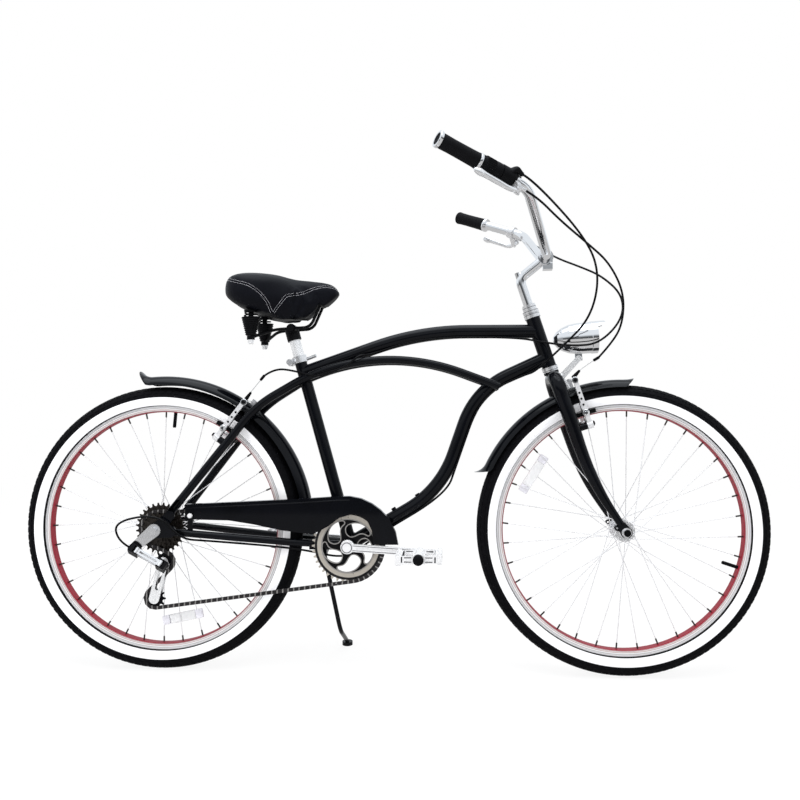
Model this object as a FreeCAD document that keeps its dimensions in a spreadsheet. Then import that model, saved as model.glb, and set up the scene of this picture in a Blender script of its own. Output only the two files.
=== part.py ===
import FreeCAD, Part
import math
import os
from FreeCAD import Matrix, Placement, Rotation, Vector

os.makedirs("parts", exist_ok=True)
doc = FreeCAD.newDocument("cruiser_bicycle")
sheet = doc.addObject("Spreadsheet::Sheet", "Sizes")

# Sizes in millimetres and degrees. The bicycle is drawn upright: X forward,
# Y to its left, Z up, rear axle over X = 0, tyres on Z = 0. It then leans on its stand.
SIZES = {
    "lean": 5.0,
    "stand_offset": 103.8,
    "wheelbase": 1065.5,
    "wheel_radius": 330.0,
    "tyre_bulge": 27.0,
    "tyre_wall": 4.0,
    "rim_edge": 285.5,
    "rim_inside": 271.0,
    "rim_half_width": 13.0,
    "rim_wall": 2.0,
    "spoke_count": 36.0,
    "spoke_wire": 1.0,
    "nipple_wire": 1.9,
    "valve_wire": 4.0,
    "flange_radius": 23.0,
    "spoke_circle": 19.0,
    "front_flange_side": 34.0,
    "rear_flange_right": 19.0,
    "rear_flange_left": 36.0,
    "hub_shell": 14.0,
    "axle_wire": 4.8,
    "running_gap": 0.05,
    "side_gap": 0.3,
    "front_hub_half": 49.7,
    "rear_hub_half": 66.7,
    "bb_ahead": 442.0,
    "bb_drop": 36.0,
    "bb_shell_radius": 20.0,
    "bb_shell_half": 34.0,
    "bb_bore": 17.0,
    "seat_tilt": 15.57,
    "seat_tube_radius": 14.3,
    "seat_tube_bore": 12.8,
    "seat_tube_length": 440.0,
    "post_radius": 12.7,
    "post_top": 790.0,
    "post_sunk": 120.0,
    "collar_radius": 17.0,
    "collar_height": 16.0,
    "head_tilt": 18.3,
    "head_ahead": 885.5,
    "head_height": 760.0,
    "head_half": 59.0,
    "head_radius": 16.5,
    "head_bore": 14.0,
    "steerer_radius": 12.7,
    "quill_radius": 11.1,
    "main_tube_radius": 15.9,
    "main_tube_wall": 1.6,
    "top_bend_ahead": 605.0,
    "top_bend_height": 787.0,
    "top_bend_radius": 650.0,
    "top_low_height": 692.6,
    "down_start_height": 724.0,
    "down_knee_ahead": 735.0,
    "down_knee_height": 650.0,
    "down_knee_radius": 190.0,
    "down_foot_ahead": 654.0,
    "down_foot_height": 419.0,
    "down_foot_radius": 240.0,
    "stay_radius": 9.5,
    "stay_wall": 1.4,
    "stay_front_ahead": 788.0,
    "stay_front_height": 657.5,
    "stay_crest_ahead": 527.4,
    "stay_crest_height": 755.1,
    "stay_crest_radius": 480.0,
    "stay_side": 23.6,
    "stay_seat_ahead": 330.0,
    "stay_seat_height": 676.1,
    "stay_seat_radius": 200.0,
    "stay_bend_ahead": 228.9,
    "stay_bend_height": 615.4,
    "stay_bend_side": 41.0,
    "stay_bend_radius": 250.0,
    "stay_end_ahead": 33.0,
    "stay_end_height": 368.0,
    "stay_end_side": 63.0,
    "chain_stay_radius": 8.5,
    "chain_stay_side": 21.0,
    "dropout_inner": 67.0,
    "dropout_thick": 5.0,
    "fork_top_radius": 16.5,
    "fork_mid_radius": 13.0,
    "fork_tip_radius": 8.0,
    "fork_crown_drop": 88.0,
    "fork_top_side": 46.5,
    "fork_tip_side": 52.5,
    "fork_bend_ahead": 989.0,
    "fork_bend_height": 447.0,
    "fork_drop_inner": 50.0,
    "eyelet_bore": 2.5,
    "guard_half_width": 29.0,
    "rear_guard_depth": 21.5,
    "front_guard_depth": 18.0,
    "guard_sheet": 1.4,
    "rear_guard_radius": 356.0,
    "front_guard_radius": 343.5,
    "chain_pitch": 12.7,
    "ring_teeth": 40.0,
    "cog_teeth": 20.0,
    "pulley_teeth": 11.0,
    "roller_radius": 3.85,
    "chain_line": 43.0,
    "cog_step": 5.0,
    "tooth_thick": 1.8,
    "guide_ahead": 14.0,
    "guide_height": 255.0,
    "cage_length": 87.0,
    "crank_length": 165.0,
    "crank_angle": 3.4,
    "crank_inner": 58.0,
    "crank_thick": 13.0,
    "crank_half_height": 8.2,
    "crank_boss": 14.0,
    "crank_eye": 10.5,
    "pedal_length": 100.0,
    "pedal_width": 88.0,
    "pedal_thick": 24.0,
    "pedal_pin": 6.0,
    "chain_guard_side": 50.5,
    "chain_guard_sheet": 2.0,
    "stand_pivot_ahead": 372.0,
    "stand_pivot_side": 40.0,
    "stand_pivot_height": 272.0,
    "stand_knee_ahead": 412.0,
    "stand_knee_side": 46.0,
    "stand_knee_height": 80.0,
    "stand_knee_radius": 40.0,
    "stand_foot_ahead": 414.0,
    "stand_foot_side": 165.0,
    "stand_leg_radius": 5.2,
    "bar_turn": 4.0,
    "bar_radius": 11.1,
    "bar_sleeve": 12.7,
    "bar_centre_ahead": 896.0,
    "bar_centre_height": 955.0,
    "bar_centre_side": 56.0,
    "bar_bend_ahead": 850.5,
    "bar_bend_side": 236.0,
    "bar_bend_height": 1056.0,
    "bar_end_ahead": 677.6,
    "bar_end_side": 340.0,
    "bar_end_height": 1131.5,
    "stem_knee": 156.0,
    "grip_length": 96.0,
    "grip_radius": 15.5,
    "twist_length": 48.0,
    "twist_radius": 18.0,
    "housing_length": 26.0,
    "housing_radius": 19.5,
    "lever_offset": 34.0,
    "lever_length": 100.0,
    "brake_pivot_side": 40.0,
    "brake_boss": 5.0,
    "brake_arm_length": 112.0,
    "pad_reach": 27.0,
    "pad_gap": 1.6,
    "lamp_ahead": 962.0,
    "lamp_height": 768.0,
    "lamp_radius": 37.0,
    "lamp_length": 100.0,
    "lamp_wall": 1.6,
    "saddle_rear": 152.0,
    "saddle_nose": 420.0,
    "saddle_height": 927.0,
    "saddle_half_width": 112.0,
    "spring_ahead": 222.0,
    "spring_side": 70.0,
    "spring_low": 776.0,
    "spring_high": 821.0,
    "spring_wide": 19.5,
    "spring_narrow": 10.5,
    "spring_wire": 2.0,
    "spring_turns": 8.0,
    "rail_wire": 3.5,
    "saddle_hinge_ahead": 374.0,
    "saddle_hinge_drop": 76.0,
    "rail_clearance": 2.4,
    "hinge_bar": 4.3,
    "hinge_bar_past_rail": 2.0,
    "cable_radius": 2.4,
}
for row, (word, number) in enumerate(SIZES.items(), 1):
    sheet.set("A%d" % row, word)
    sheet.set("B%d" % row, repr(number))
    sheet.setAlias("B%d" % row, word)
doc.recompute()


class Values:
    """Reads each size back from the sheet by its alias."""

    def __getattr__(self, word):
        return float(sheet.get(word))


v = Values()
X, Y, Z = Vector(1, 0, 0), Vector(0, 1, 0), Vector(0, 0, 1)
lean = math.radians(v.lean)
lift = v.tyre_bulge * (1 - math.cos(lean))
STAND = Placement(Vector(-v.wheelbase / 2, -v.stand_offset, lift), Rotation(X, -v.lean))

rear_axle_at = Vector(0, 0, v.wheel_radius)
front_axle_at = Vector(v.wheelbase, 0, v.wheel_radius)
bb_at = Vector(v.bb_ahead, 0, v.wheel_radius - v.bb_drop)
head_at = Vector(v.head_ahead, 0, v.head_height)
head_up = Vector(-math.sin(math.radians(v.head_tilt)), 0, math.cos(math.radians(v.head_tilt)))
head_fore = Vector(head_up.z, 0, -head_up.x)
seat_up = Vector(-math.sin(math.radians(v.seat_tilt)), 0, math.cos(math.radians(v.seat_tilt)))
seat_top = bb_at + seat_up * v.seat_tube_length

pieces = []


def keep(label, shape):
    """Files a finished shape, drawn upright, as a named piece standing on its stand."""
    piece = doc.addObject("Part::Feature", label)
    piece.Label = label
    piece.Shape = shape
    piece.Placement = STAND.multiply(piece.Placement)
    pieces.append(piece)
    return shape


def moved(shape, place):
    copy = shape.copy()
    copy.Placement = place.multiply(copy.Placement)
    return copy


def rod(a, b, radius, bore=0.0):
    """A straight round bar or pipe between two points."""
    run = b - a
    bar = Part.makeCylinder(radius, run.Length, a, run)
    if bore:
        bar = bar.cut(Part.makeCylinder(bore, run.Length + 2, a - run.normalize(), b - a))
    return bar


def route(points, radii):
    """Straight runs joined by tangent arcs: a list of edges through the corners."""
    spans = []
    here = points[0]
    for i in range(1, len(points) - 1):
        back = (points[i - 1] - points[i]).normalize()
        on = (points[i + 1] - points[i]).normalize()
        angle = math.pi - back.getAngle(on)
        reach = radii[i - 1] * math.tan(angle / 2)
        a, b = points[i] + back * reach, points[i] + on * reach
        centre_way = (back + on).normalize()
        middle = points[i] + centre_way * (radii[i - 1] / math.cos(angle / 2) - radii[i - 1])
        if (a - here).Length > 0.01:
            spans.append(Part.LineSegment(here, a))
        spans.append(Part.Arc(a, middle, b))
        here = b
    spans.append(Part.LineSegment(here, points[-1]))
    return [s.toShape() for s in spans]


def bent(points, radii, radius, bore=0.0):
    """A bent tube along straight runs and tangent arcs."""
    parts = []
    for edge in route(points, radii):
        start = edge.valueAt(edge.FirstParameter)
        way = edge.tangentAt(edge.FirstParameter)
        disc = Part.Face(Part.Wire(Part.Circle(start, way, radius).toShape()))
        if bore:
            disc = disc.cut(Part.Face(Part.Wire(Part.Circle(start, way, bore).toShape())))
        if isinstance(edge.Curve, Part.Line):
            parts.append(disc.extrude(edge.valueAt(edge.LastParameter) - start))
        else:
            centre, axis = edge.Curve.Center, edge.Curve.Axis
            sweep = math.degrees(edge.LastParameter - edge.FirstParameter)
            if (axis.cross(start - centre)).dot(way) < 0:
                axis = axis * -1
            parts.append(disc.revolve(centre, axis, sweep))
    whole = parts[0]
    if len(parts) > 1:
        whole = parts[0].fuse(parts[1:]).removeSplitter()
    return only(whole)


def only(shape):
    """The single solid of a shape, or the shape as it is if it holds more."""
    if shape.ShapeType == "Solid":
        return shape
    if len(shape.Solids) == 1:
        return shape.Solids[0]
    return shape


def mirror(shape):
    return shape.mirror(Vector(0, 0, 0), Y)


def pair(shape):
    return [shape, mirror(shape)]


def group(shapes):
    solids = []
    for shape in shapes:
        solids.extend(shape.Solids)
    return Part.makeCompound(solids)


def plate(outline, low, high):
    """A flat plate from an outline of (ahead, height) points, between two Y values."""
    corners = [Vector(a, low, b) for a, b in outline]
    face = Part.Face(Part.makePolygon(corners + corners[:1]))
    return face.extrude(Vector(0, high - low, 0))


def hull_plate(a, ra, b, rb, low, high):
    """A link plate: two round ends joined by their outer tangents, in the XZ plane."""
    run = Vector(b.x - a.x, 0, b.z - a.z)
    length = run.Length
    base = math.atan2(run.z, run.x)
    swing = math.acos((ra - rb) / length)
    ends = []
    for centre, radius in ((a, ra), (b, rb)):
        for sign in (1, -1):
            angle = base + sign * swing
            ends.append(Vector(centre.x + radius * math.cos(angle), low,
                centre.z + radius * math.sin(angle)))
    web = Part.Face(Part.makePolygon([ends[0], ends[2], ends[3], ends[1], ends[0]])).extrude(Vector(0,
        high - low, 0))
    round_a = Part.makeCylinder(ra, high - low, Vector(a.x, low, a.z), Y)
    round_b = Part.makeCylinder(rb, high - low, Vector(b.x, low, b.z), Y)
    return only(web.fuse([round_a, round_b]).removeSplitter())


def loft_rounds(stations):
    """A smooth tapering limb through round sections: (centre, direction, radius)."""
    wires = [Part.Wire(Part.Circle(c, d, r).toShape()) for c, d, r in stations]
    return only(Part.makeLoft(wires, True, False))


def along_route(points, radii, fractions):
    """Points and directions at the given fractions of a route's length."""
    edges = route(points, radii)
    total = sum(e.Length for e in edges)
    result = []
    for f in fractions:
        rest = f * total
        for e in edges:
            if rest <= e.Length + 1e-6:
                u = e.getParameterByLength(min(rest, e.Length))
                result.append((e.valueAt(u), e.tangentAt(u).normalize()))
                break
            rest -= e.Length
    return result


# Frame tubes.
head_low = head_at - head_up * v.head_half
head_high = head_at + head_up * v.head_half
head_block = rod(head_low, head_high, v.head_radius)
seat_block = rod(bb_at, seat_top, v.seat_tube_radius)
bb_block = rod(bb_at - Y * v.bb_shell_half, bb_at + Y * v.bb_shell_half, v.bb_shell_radius)

head_cylinder = doc.addObject("Part::Cylinder", "head_outside")
head_cylinder.setExpression("Radius", "Sizes.head_radius")
head_cylinder.setExpression("Height", "2 * Sizes.head_half")
head_hole = doc.addObject("Part::Cylinder", "head_inside")
head_hole.setExpression("Radius", "Sizes.head_bore")
head_hole.setExpression("Height", "2 * Sizes.head_half")
head_tube = doc.addObject("Part::Cut", "head_tube")
head_tube.Base, head_tube.Tool = head_cylinder, head_hole
head_tube.Label = "head_tube"
head_tube.Placement = STAND.multiply(Placement(head_low, Rotation(Z, head_up)))
pieces.append(head_tube)

shell_cylinder = doc.addObject("Part::Cylinder", "shell_outside")
shell_cylinder.setExpression("Radius", "Sizes.bb_shell_radius")
shell_cylinder.setExpression("Height", "2 * Sizes.bb_shell_half")
shell_hole = doc.addObject("Part::Cylinder", "shell_inside")
shell_hole.setExpression("Radius", "Sizes.bb_bore")
shell_hole.setExpression("Height", "2 * Sizes.bb_shell_half")
bb_shell = doc.addObject("Part::Cut", "bottom_bracket_shell")
bb_shell.Base, bb_shell.Tool = shell_cylinder, shell_hole
bb_shell.Label = "bottom_bracket_shell"
bb_shell.Placement = STAND.multiply(Placement(bb_at - Y * v.bb_shell_half, Rotation(Z, Y)))
pieces.append(bb_shell)

seat_tube = rod(bb_at, seat_top, v.seat_tube_radius, v.seat_tube_bore).cut(bb_block)
keep("seat_tube", only(seat_tube))


def on_seat(height):
    return bb_at + seat_up * ((height - bb_at.z) / seat_up.z)


def on_head(height):
    return head_at + head_up * ((height - head_at.z) / head_up.z)


top_points = [on_head(v.top_bend_height - 1), Vector(v.top_bend_ahead, 0, v.top_bend_height),
    on_seat(v.top_low_height)]
top_tube = bent(top_points, [v.top_bend_radius], v.main_tube_radius, v.main_tube_radius - v.main_tube_wall)
top_tube = top_tube.cut([head_block, seat_block])
keep("top_tube", max(top_tube.Solids, key=lambda s: s.Volume))

down_points = [on_head(v.down_start_height), Vector(v.down_knee_ahead, 0, v.down_knee_height),
               Vector(v.down_foot_ahead, 0, v.down_foot_height), bb_at]
down_radii = [v.down_knee_radius, v.down_foot_radius]
down_outer = bent(down_points, down_radii, v.main_tube_radius)
down_tube = bent(down_points, down_radii, v.main_tube_radius, v.main_tube_radius - v.main_tube_wall)
down_tube = down_tube.cut([head_block, bb_block, seat_block])
top_outer = bent(top_points, [v.top_bend_radius], v.main_tube_radius)

foot_run = (down_points[3] - down_points[2]).normalize()
foot_up = Vector(-foot_run.z, 0, foot_run.x)
if foot_up.z < 0:
    foot_up = foot_up * -1
boss_spots = [down_points[3] - foot_run * s for s in (128.0, 192.0)]
boss_holes = [Part.makeCylinder(v.eyelet_bore, 40, b, foot_up) for b in boss_spots]
down_tube = max(down_tube.cut([b for b in boss_holes]).Solids, key=lambda s: s.Volume)
keep("down_tube", down_tube)

stay_points = [
    Vector(v.stay_front_ahead, v.stay_side + 1.7, v.stay_front_height),
    Vector(v.stay_crest_ahead, v.stay_side + 1.0, v.stay_crest_height),
    Vector(v.stay_seat_ahead, v.stay_side, v.stay_seat_height),
    Vector(v.stay_bend_ahead, v.stay_bend_side, v.stay_bend_height),
    Vector(v.stay_end_ahead, v.stay_end_side, v.stay_end_height),
]
stay_radii = [v.stay_crest_radius, v.stay_seat_radius, v.stay_bend_radius]
stay_outer = bent(stay_points, stay_radii, v.stay_radius)
stay_left = bent(stay_points, stay_radii, v.stay_radius, v.stay_radius - v.stay_wall)
stay_left = only(stay_left.cut([seat_block, down_outer, top_outer]))
stay_trim = Part.makeBox(160, 40, 100, Vector(-100, v.dropout_inner, v.wheel_radius - 30))
stay_left = max(stay_left.cut(stay_trim).Solids, key=lambda s: s.Volume)
keep("stay_tubes", group(pair(stay_left)))

chain_stay_points = [
    Vector(34, v.stay_end_side, v.wheel_radius - 4),
    Vector(310, 38, bb_at.z + 7),
    Vector(bb_at.x - 4, v.chain_stay_side, bb_at.z),
]
chain_stay_left = bent(chain_stay_points, [180.0], v.chain_stay_radius, v.chain_stay_radius - v.stay_wall)
chain_stay_left = only(chain_stay_left.cut([bb_block, seat_block]))
chain_stay_left = max(chain_stay_left.Solids, key=lambda s: s.Volume)
drop_low, drop_high = v.dropout_inner, v.dropout_inner + v.dropout_thick
dropout = hull_plate(Vector(0, 0, v.wheel_radius), 17, Vector(36, 0, v.wheel_radius - 2), 14, drop_low,
    drop_high)
dropout = dropout.fuse(hull_plate(Vector(10, 0, v.wheel_radius + 6), 15,
    Vector(36, 0, v.stay_end_height - 4), 11, drop_low, drop_high))
slot = Part.makeCylinder(v.axle_wire + 0.1, 30, Vector(0, drop_low - 5, v.wheel_radius), Y)
slot = slot.fuse(Part.makeBox(60, 30, 2 * v.axle_wire + 0.2,
    Vector(-60, drop_low - 5, v.wheel_radius - v.axle_wire - 0.1)))
rear_eyelet = Vector(24, 0, v.wheel_radius + 21)
slot = slot.fuse(Part.makeCylinder(v.eyelet_bore, 30, Vector(rear_eyelet.x, drop_low - 5, rear_eyelet.z),
    Y))
dropout = only(dropout.cut(slot).removeSplitter())
# The tube ends are squeezed flat inside the plates, so each is trimmed to the plate's inner face.
trim = Part.makeBox(200, 40, 200, Vector(-100, v.dropout_inner, v.wheel_radius - 100))
chain_stay_left = max(chain_stay_left.cut(trim).Solids, key=lambda s: s.Volume)
keep("chain_stays", group(pair(chain_stay_left) + pair(dropout)))

# Bridges, brake studs, bottle bosses, cable clips and the stand's bracket.
fittings = []
bridge_angle = math.radians(51.4)
bridge_reach = v.rear_guard_radius + 5.3
bridge_at = Vector(bridge_reach * math.cos(bridge_angle), 0,
    v.wheel_radius + bridge_reach * math.sin(bridge_angle))
stay_both = pair(stay_outer)
stay_bridge = rod(bridge_at - Y * 42, bridge_at + Y * 42, 5.0).cut(stay_both)
fittings.append(max(stay_bridge.Solids, key=lambda s: abs(s.BoundBox.Center.y) < 5 and s.Volume or 0))
low_bridge_at = Vector(v.rear_guard_radius + 5.3, 0, bb_at.z + 6)
chain_stay_outer = bent(chain_stay_points, [180.0], v.chain_stay_radius)
low_bridge = rod(low_bridge_at - Y * 42, low_bridge_at + Y * 42, 5.0)
low_bridge = low_bridge.fuse(Part.makeBox(2.4, 14, 40, Vector(v.rear_guard_radius + 0.2, -7, bb_at.z + 4)))
low_bridge = low_bridge.cut(pair(chain_stay_outer))
fittings.append(max(low_bridge.Solids, key=lambda s: abs(s.BoundBox.Center.y) < 5 and s.Volume or 0))

stay_run = (stay_points[3] - stay_points[4]).normalize()
stay_run = Vector(stay_run.x, 0, stay_run.z).normalize()
stay_back = Vector(-stay_run.z, 0, stay_run.x)
rear_pivot = Vector(134.6, 0, 542.7)
fork_pivot = head_at + head_up * -212.8 + head_fore * 40.0


def brake_stud(pivot, way, root, reach):
    base = pivot + Y * v.brake_pivot_side
    return rod(base - way * root, base + way * reach, v.brake_boss)


rear_stud = brake_stud(rear_pivot, stay_back, 34, 8.5)
rear_foot = Part.makeCylinder(8, 24, rear_pivot + Y * v.brake_pivot_side - stay_back * 32, stay_back)
rear_stud = only(rear_stud.fuse(rear_foot).removeSplitter().cut(stay_outer))
rear_stud_at = rear_pivot + Y * v.brake_pivot_side
rear_stud = min(rear_stud.Solids, key=lambda s: (s.BoundBox.Center - rear_stud_at).Length)
fittings += pair(rear_stud)

for spot in boss_spots:
    boss = Part.makeCylinder(5.5, 21, spot, foot_up).cut(down_outer)
    boss = boss.cut(Part.makeCylinder(v.eyelet_bore, 60, spot, foot_up))
    fittings.append(max(boss.Solids, key=lambda s: s.Volume))

stand_pivot = Vector(v.stand_pivot_ahead, v.stand_pivot_side, v.stand_pivot_height)
stand_axis = Y
bracket = Part.makeBox(54, 62, 9, Vector(v.stand_pivot_ahead - 22, -31, bb_at.z - 10.5))
bracket = bracket.fuse(Part.makeBox(26, 20, 24, Vector(v.stand_pivot_ahead - 13, 6, bb_at.z - 32)))
bracket = bracket.fuse(rod(stand_pivot - stand_axis * 26, stand_pivot - stand_axis * 9.3, 12))
bracket = bracket.fuse(rod(stand_pivot - stand_axis * 12, stand_pivot + stand_axis * 9, 5))
bracket = only(bracket.cut(pair(chain_stay_outer)).removeSplitter())
bracket = max(bracket.Solids, key=lambda s: s.Volume)
fittings.append(bracket)
keep("frame_fittings", group(fittings))

# Bearing cups of head and crank.
cups = []
for sign in (1, -1):
    end = head_at + head_up * (sign * v.head_half)
    way = head_up * sign
    cup = rod(end, end + way * 10, 18.5).fuse(rod(end + way * 9, end + way * 12, 16.8))
    cup = cup.fuse(rod(end - way * 12, end, v.head_bore))
    cup = cup.cut(rod(end - way * 14, end + way * 14, v.steerer_radius + 0.3))
    cups.append(only(cup.removeSplitter()))
for sign in (1, -1):
    end = bb_at + Y * (sign * v.bb_shell_half)
    way = Y * sign
    cup = rod(end - way * 14, end + way * 0.01, v.bb_bore).fuse(rod(end, end + way * 3, 21.5))
    cup = cup.cut(rod(end - way * 16, end + way * 5, 8.5 + v.running_gap))
    cups.append(only(cup.removeSplitter()))
keep("bearing_cups", group(cups))

# Fork and headset nuts.
crown_at = head_at - head_up * v.fork_crown_drop
fork_bend = Vector(v.fork_bend_ahead, v.fork_tip_side - 1, v.fork_bend_height)
drop_axle = Vector(v.wheelbase, v.fork_tip_side, v.wheel_radius)
tip_way = (drop_axle - fork_bend).normalize()
fork_tip = drop_axle - tip_way * 22
leg_top = crown_at + Y * v.fork_top_side
leg_way = (fork_bend - leg_top).normalize()
elbow_end = leg_top + leg_way * 36
elbow = bent([crown_at - Y * 2, leg_top, elbow_end], [30.0], v.fork_top_radius)
fractions = [0, 0.12, 0.3, 0.5, 0.65, 0.8, 0.9, 1.0]
shares = [1.0, 0.97, 0.84, 0.66, 0.5, 0.26, 0.12, 0.0]
spots = along_route([elbow_end, fork_bend, fork_tip], [600.0], fractions)
rounds = []
for share, (centre, way) in zip(shares, spots):
    rounds.append((centre, way, v.fork_tip_radius + (v.fork_top_radius - v.fork_tip_radius) * share))
leg_left = loft_rounds(rounds)
fork_in, fork_out = v.fork_drop_inner, v.fork_drop_inner + 5.0
tab = hull_plate(Vector(v.wheelbase, 0, v.wheel_radius), 13, fork_tip, 8.5, fork_in, fork_out)
fork_eyelet = Vector(v.wheelbase - 21, 0, v.wheel_radius + 10.5)
tab = tab.fuse(hull_plate(Vector(v.wheelbase - 6, 0, v.wheel_radius + 8), 9, fork_eyelet, 6, fork_in,
    fork_out))
fork_stud = brake_stud(fork_pivot, head_fore, 42, 8.5)
fork_stud = fork_stud.fuse(Part.makeCylinder(8, 30, fork_pivot + Y * v.brake_pivot_side - head_fore * 38,
    head_fore))
leg_left = leg_left.fuse([elbow, tab, fork_stud])
steerer = rod(crown_at, head_at + head_up * (v.head_half + 30), v.steerer_radius)
race = rod(head_low - head_up * 18, head_low - head_up * (12 + v.side_gap), 17.5)
fork = leg_left.fuse([mirror(leg_left), steerer, race])
fork = fork.cut(rod(head_at - head_up * 10, head_at + head_up * 100, v.quill_radius + 0.1))
for side in (1, -1):
    hole = Part.makeCylinder(v.axle_wire + 0.1, 40, Vector(v.wheelbase, side * 30, v.wheel_radius),
        Y * side)
    hole = hole.fuse(Part.makeBox(2 * v.axle_wire + 0.2, 40, 40,
        Vector(v.wheelbase - v.axle_wire - 0.1, 30 if side > 0 else -70, v.wheel_radius - 40)))
    eye = Part.makeCylinder(v.eyelet_bore, 40, Vector(fork_eyelet.x, side * 30, fork_eyelet.z), Y * side)
    clear = Part.makeCylinder(14.5, 17.0, Vector(v.wheelbase, side * 33, v.wheel_radius), Y * side)
    fork = fork.cut([hole, eye, clear])
fork = only(fork.removeSplitter())
keep("fork", max(fork.Solids, key=lambda s: s.Volume))

nut_low = v.head_half + 12 + v.side_gap
nuts = rod(head_at + head_up * nut_low, head_at + head_up * (nut_low + 6), 18.5)
nuts = nuts.fuse(rod(head_at + head_up * (nut_low + 6), head_at + head_up * (v.head_half + 30), 16.0))
nuts = nuts.cut(rod(head_at + head_up * 40, head_at + head_up * 120, v.steerer_radius))
cap = rod(head_at + head_up * (v.head_half + 30), head_at + head_up * (v.head_half + 33), 15.0)
cap = cap.cut(rod(head_at + head_up * 80, head_at + head_up * 120, v.quill_radius + 0.1))
keep("headset_nuts", only(nuts.fuse(cap).removeSplitter()))

# Wheels.


def build_wheel(name, centre, right_side, left_side, half, shell, phase, valve_angle):
    """One wheel: tyre with valve, rim, hub and a crossed set of spokes."""
    mid = v.wheel_radius - v.tyre_bulge
    ring = Part.Wire(Part.Circle(Vector(mid, 0, 0), Z, v.tyre_bulge).toShape())
    inner = Part.Wire(Part.Circle(Vector(mid, 0, 0), Z, v.tyre_bulge - v.tyre_wall).toShape())
    section = Part.Face(ring).cut(Part.Face(inner))
    low_cut = Part.makePlane(80, 80, Vector(v.rim_edge + 0.3 - 80, -40, 0))
    section = section.cut(low_cut)
    bead_wide = v.rim_half_width - v.rim_wall
    for side in (1, -1):
        top = v.rim_edge + 2.5
        bead = Part.makePolygon([
            Vector(v.rim_inside + 4, side * bead_wide, 0), Vector(top, side * bead_wide, 0),
            Vector(top + 1.5, side * (bead_wide + 8), 0), Vector(top + 6, side * (bead_wide + 8), 0),
            Vector(top + 3, side * (bead_wide - 4), 0), Vector(v.rim_inside + 4, side * (bead_wide - 5), 0),
            Vector(v.rim_inside + 4, side * bead_wide, 0)])
        section = section.fuse(Part.Face(bead))
    section = section.removeSplitter()
    tyre = section.Faces[0].revolve(Vector(0, 0, 0), Y, 360) if len(section.Faces) == 1 else only(
        section.revolve(Vector(0, 0, 0), Y, 360))
    rim_face = Part.Face(Part.makePolygon([Vector(a, b, 0) for a, b in (
        (v.rim_inside, -v.rim_half_width + 3), (v.rim_inside + 2.5, -v.rim_half_width),
        (v.rim_edge, -v.rim_half_width), (v.rim_edge, -v.rim_half_width + v.rim_wall),
        (v.rim_inside + 4, -v.rim_half_width + v.rim_wall), (v.rim_inside + 4,
            v.rim_half_width - v.rim_wall),
        (v.rim_edge, v.rim_half_width - v.rim_wall), (v.rim_edge, v.rim_half_width),
        (v.rim_inside + 2.5, v.rim_half_width), (v.rim_inside, v.rim_half_width - 3),
        (v.rim_inside, -v.rim_half_width + 3))]))
    rim = rim_face.revolve(Vector(0, 0, 0), Y, 360)
    out = Vector(math.cos(valve_angle), 0, math.sin(valve_angle))
    rim = rim.cut(rod(out * (v.rim_inside - 9), out * (v.rim_inside + 20), v.valve_wire + 0.2))
    valve = rod(out * (v.rim_inside - 34), out * (v.rim_inside + 6), v.valve_wire)
    valve = valve.fuse(rod(out * (v.rim_inside - 36), out * (v.rim_inside - 20), v.valve_wire - 0.6))
    valve = only(valve.removeSplitter())
    hub_line = [(v.axle_wire + v.running_gap, -half), (9.0, -half), (9.0, right_side * -1 - 6),
        (shell, right_side * -1 - 5),
                (shell, right_side * -1 - 1.5), (v.flange_radius, right_side * -1 - 1.5), (v.flange_radius,
                    right_side * -1 + 1.5),
                (16.0, right_side * -1 + 1.5), (shell, right_side * -1 + 4), (shell, left_side - 4), (16.0,
                    left_side - 1.5), (v.flange_radius, left_side - 1.5),
                    (v.flange_radius, left_side + 1.5),
                (shell, left_side + 1.5), (shell, left_side + 5), (9.0, left_side + 6), (9.0,
                    half), (v.axle_wire + v.running_gap, half)]
    hub_face = Part.Face(Part.makePolygon([Vector(a, b, 0) for a, b in hub_line + hub_line[:1]]))
    hub = hub_face.revolve(Vector(0, 0, 0), Y, 360)
    spokes, holes = [], []
    per_side = int(v.spoke_count / 2)
    step = 2 * math.pi / per_side
    for side, flange in ((-1, -right_side), (1, left_side)):
        for i in range(per_side):
            a = phase + step * i + (step / 2 if side > 0 else 0)
            outside = i % 2 == 0
            b = a + (3 * step if outside else -3 * step)
            offset = (3.5 if outside else -3.5) * side
            hub_end = Vector(v.spoke_circle * math.cos(a), flange + offset, v.spoke_circle * math.sin(a))
            rim_end = Vector((v.rim_inside - 0.4) * math.cos(b), side * 2.0,
                (v.rim_inside - 0.4) * math.sin(b))
            way = (rim_end - hub_end).normalize()
            wire = rod(hub_end, rim_end - way * 8, v.spoke_wire)
            nipple = rod(rim_end - way * 12, rim_end, v.nipple_wire)
            through = -1 if offset > 0 else 1
            elbow = rod(hub_end, hub_end + Y * (through * 5.4), v.spoke_wire)
            knob = rod(hub_end + Y * (through * 5.05), hub_end + Y * (through * 6.0), v.spoke_wire + 0.8)
            spokes.append(only(wire.fuse([nipple, elbow, knob])))
            holes.append(rod(Vector(hub_end.x, flange - 3, hub_end.z),
                Vector(hub_end.x, flange + 3, hub_end.z), v.spoke_wire + 0.1))
    hub = only(hub.cut(holes))
    place = Placement(centre, Rotation())
    keep(name + "_tyre", moved(group([tyre, valve]), place))
    keep(name + "_rim", moved(only(rim), place))
    keep(name + "_spokes", moved(group(spokes), place))
    keep(name + "_hub", moved(hub, place))


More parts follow.
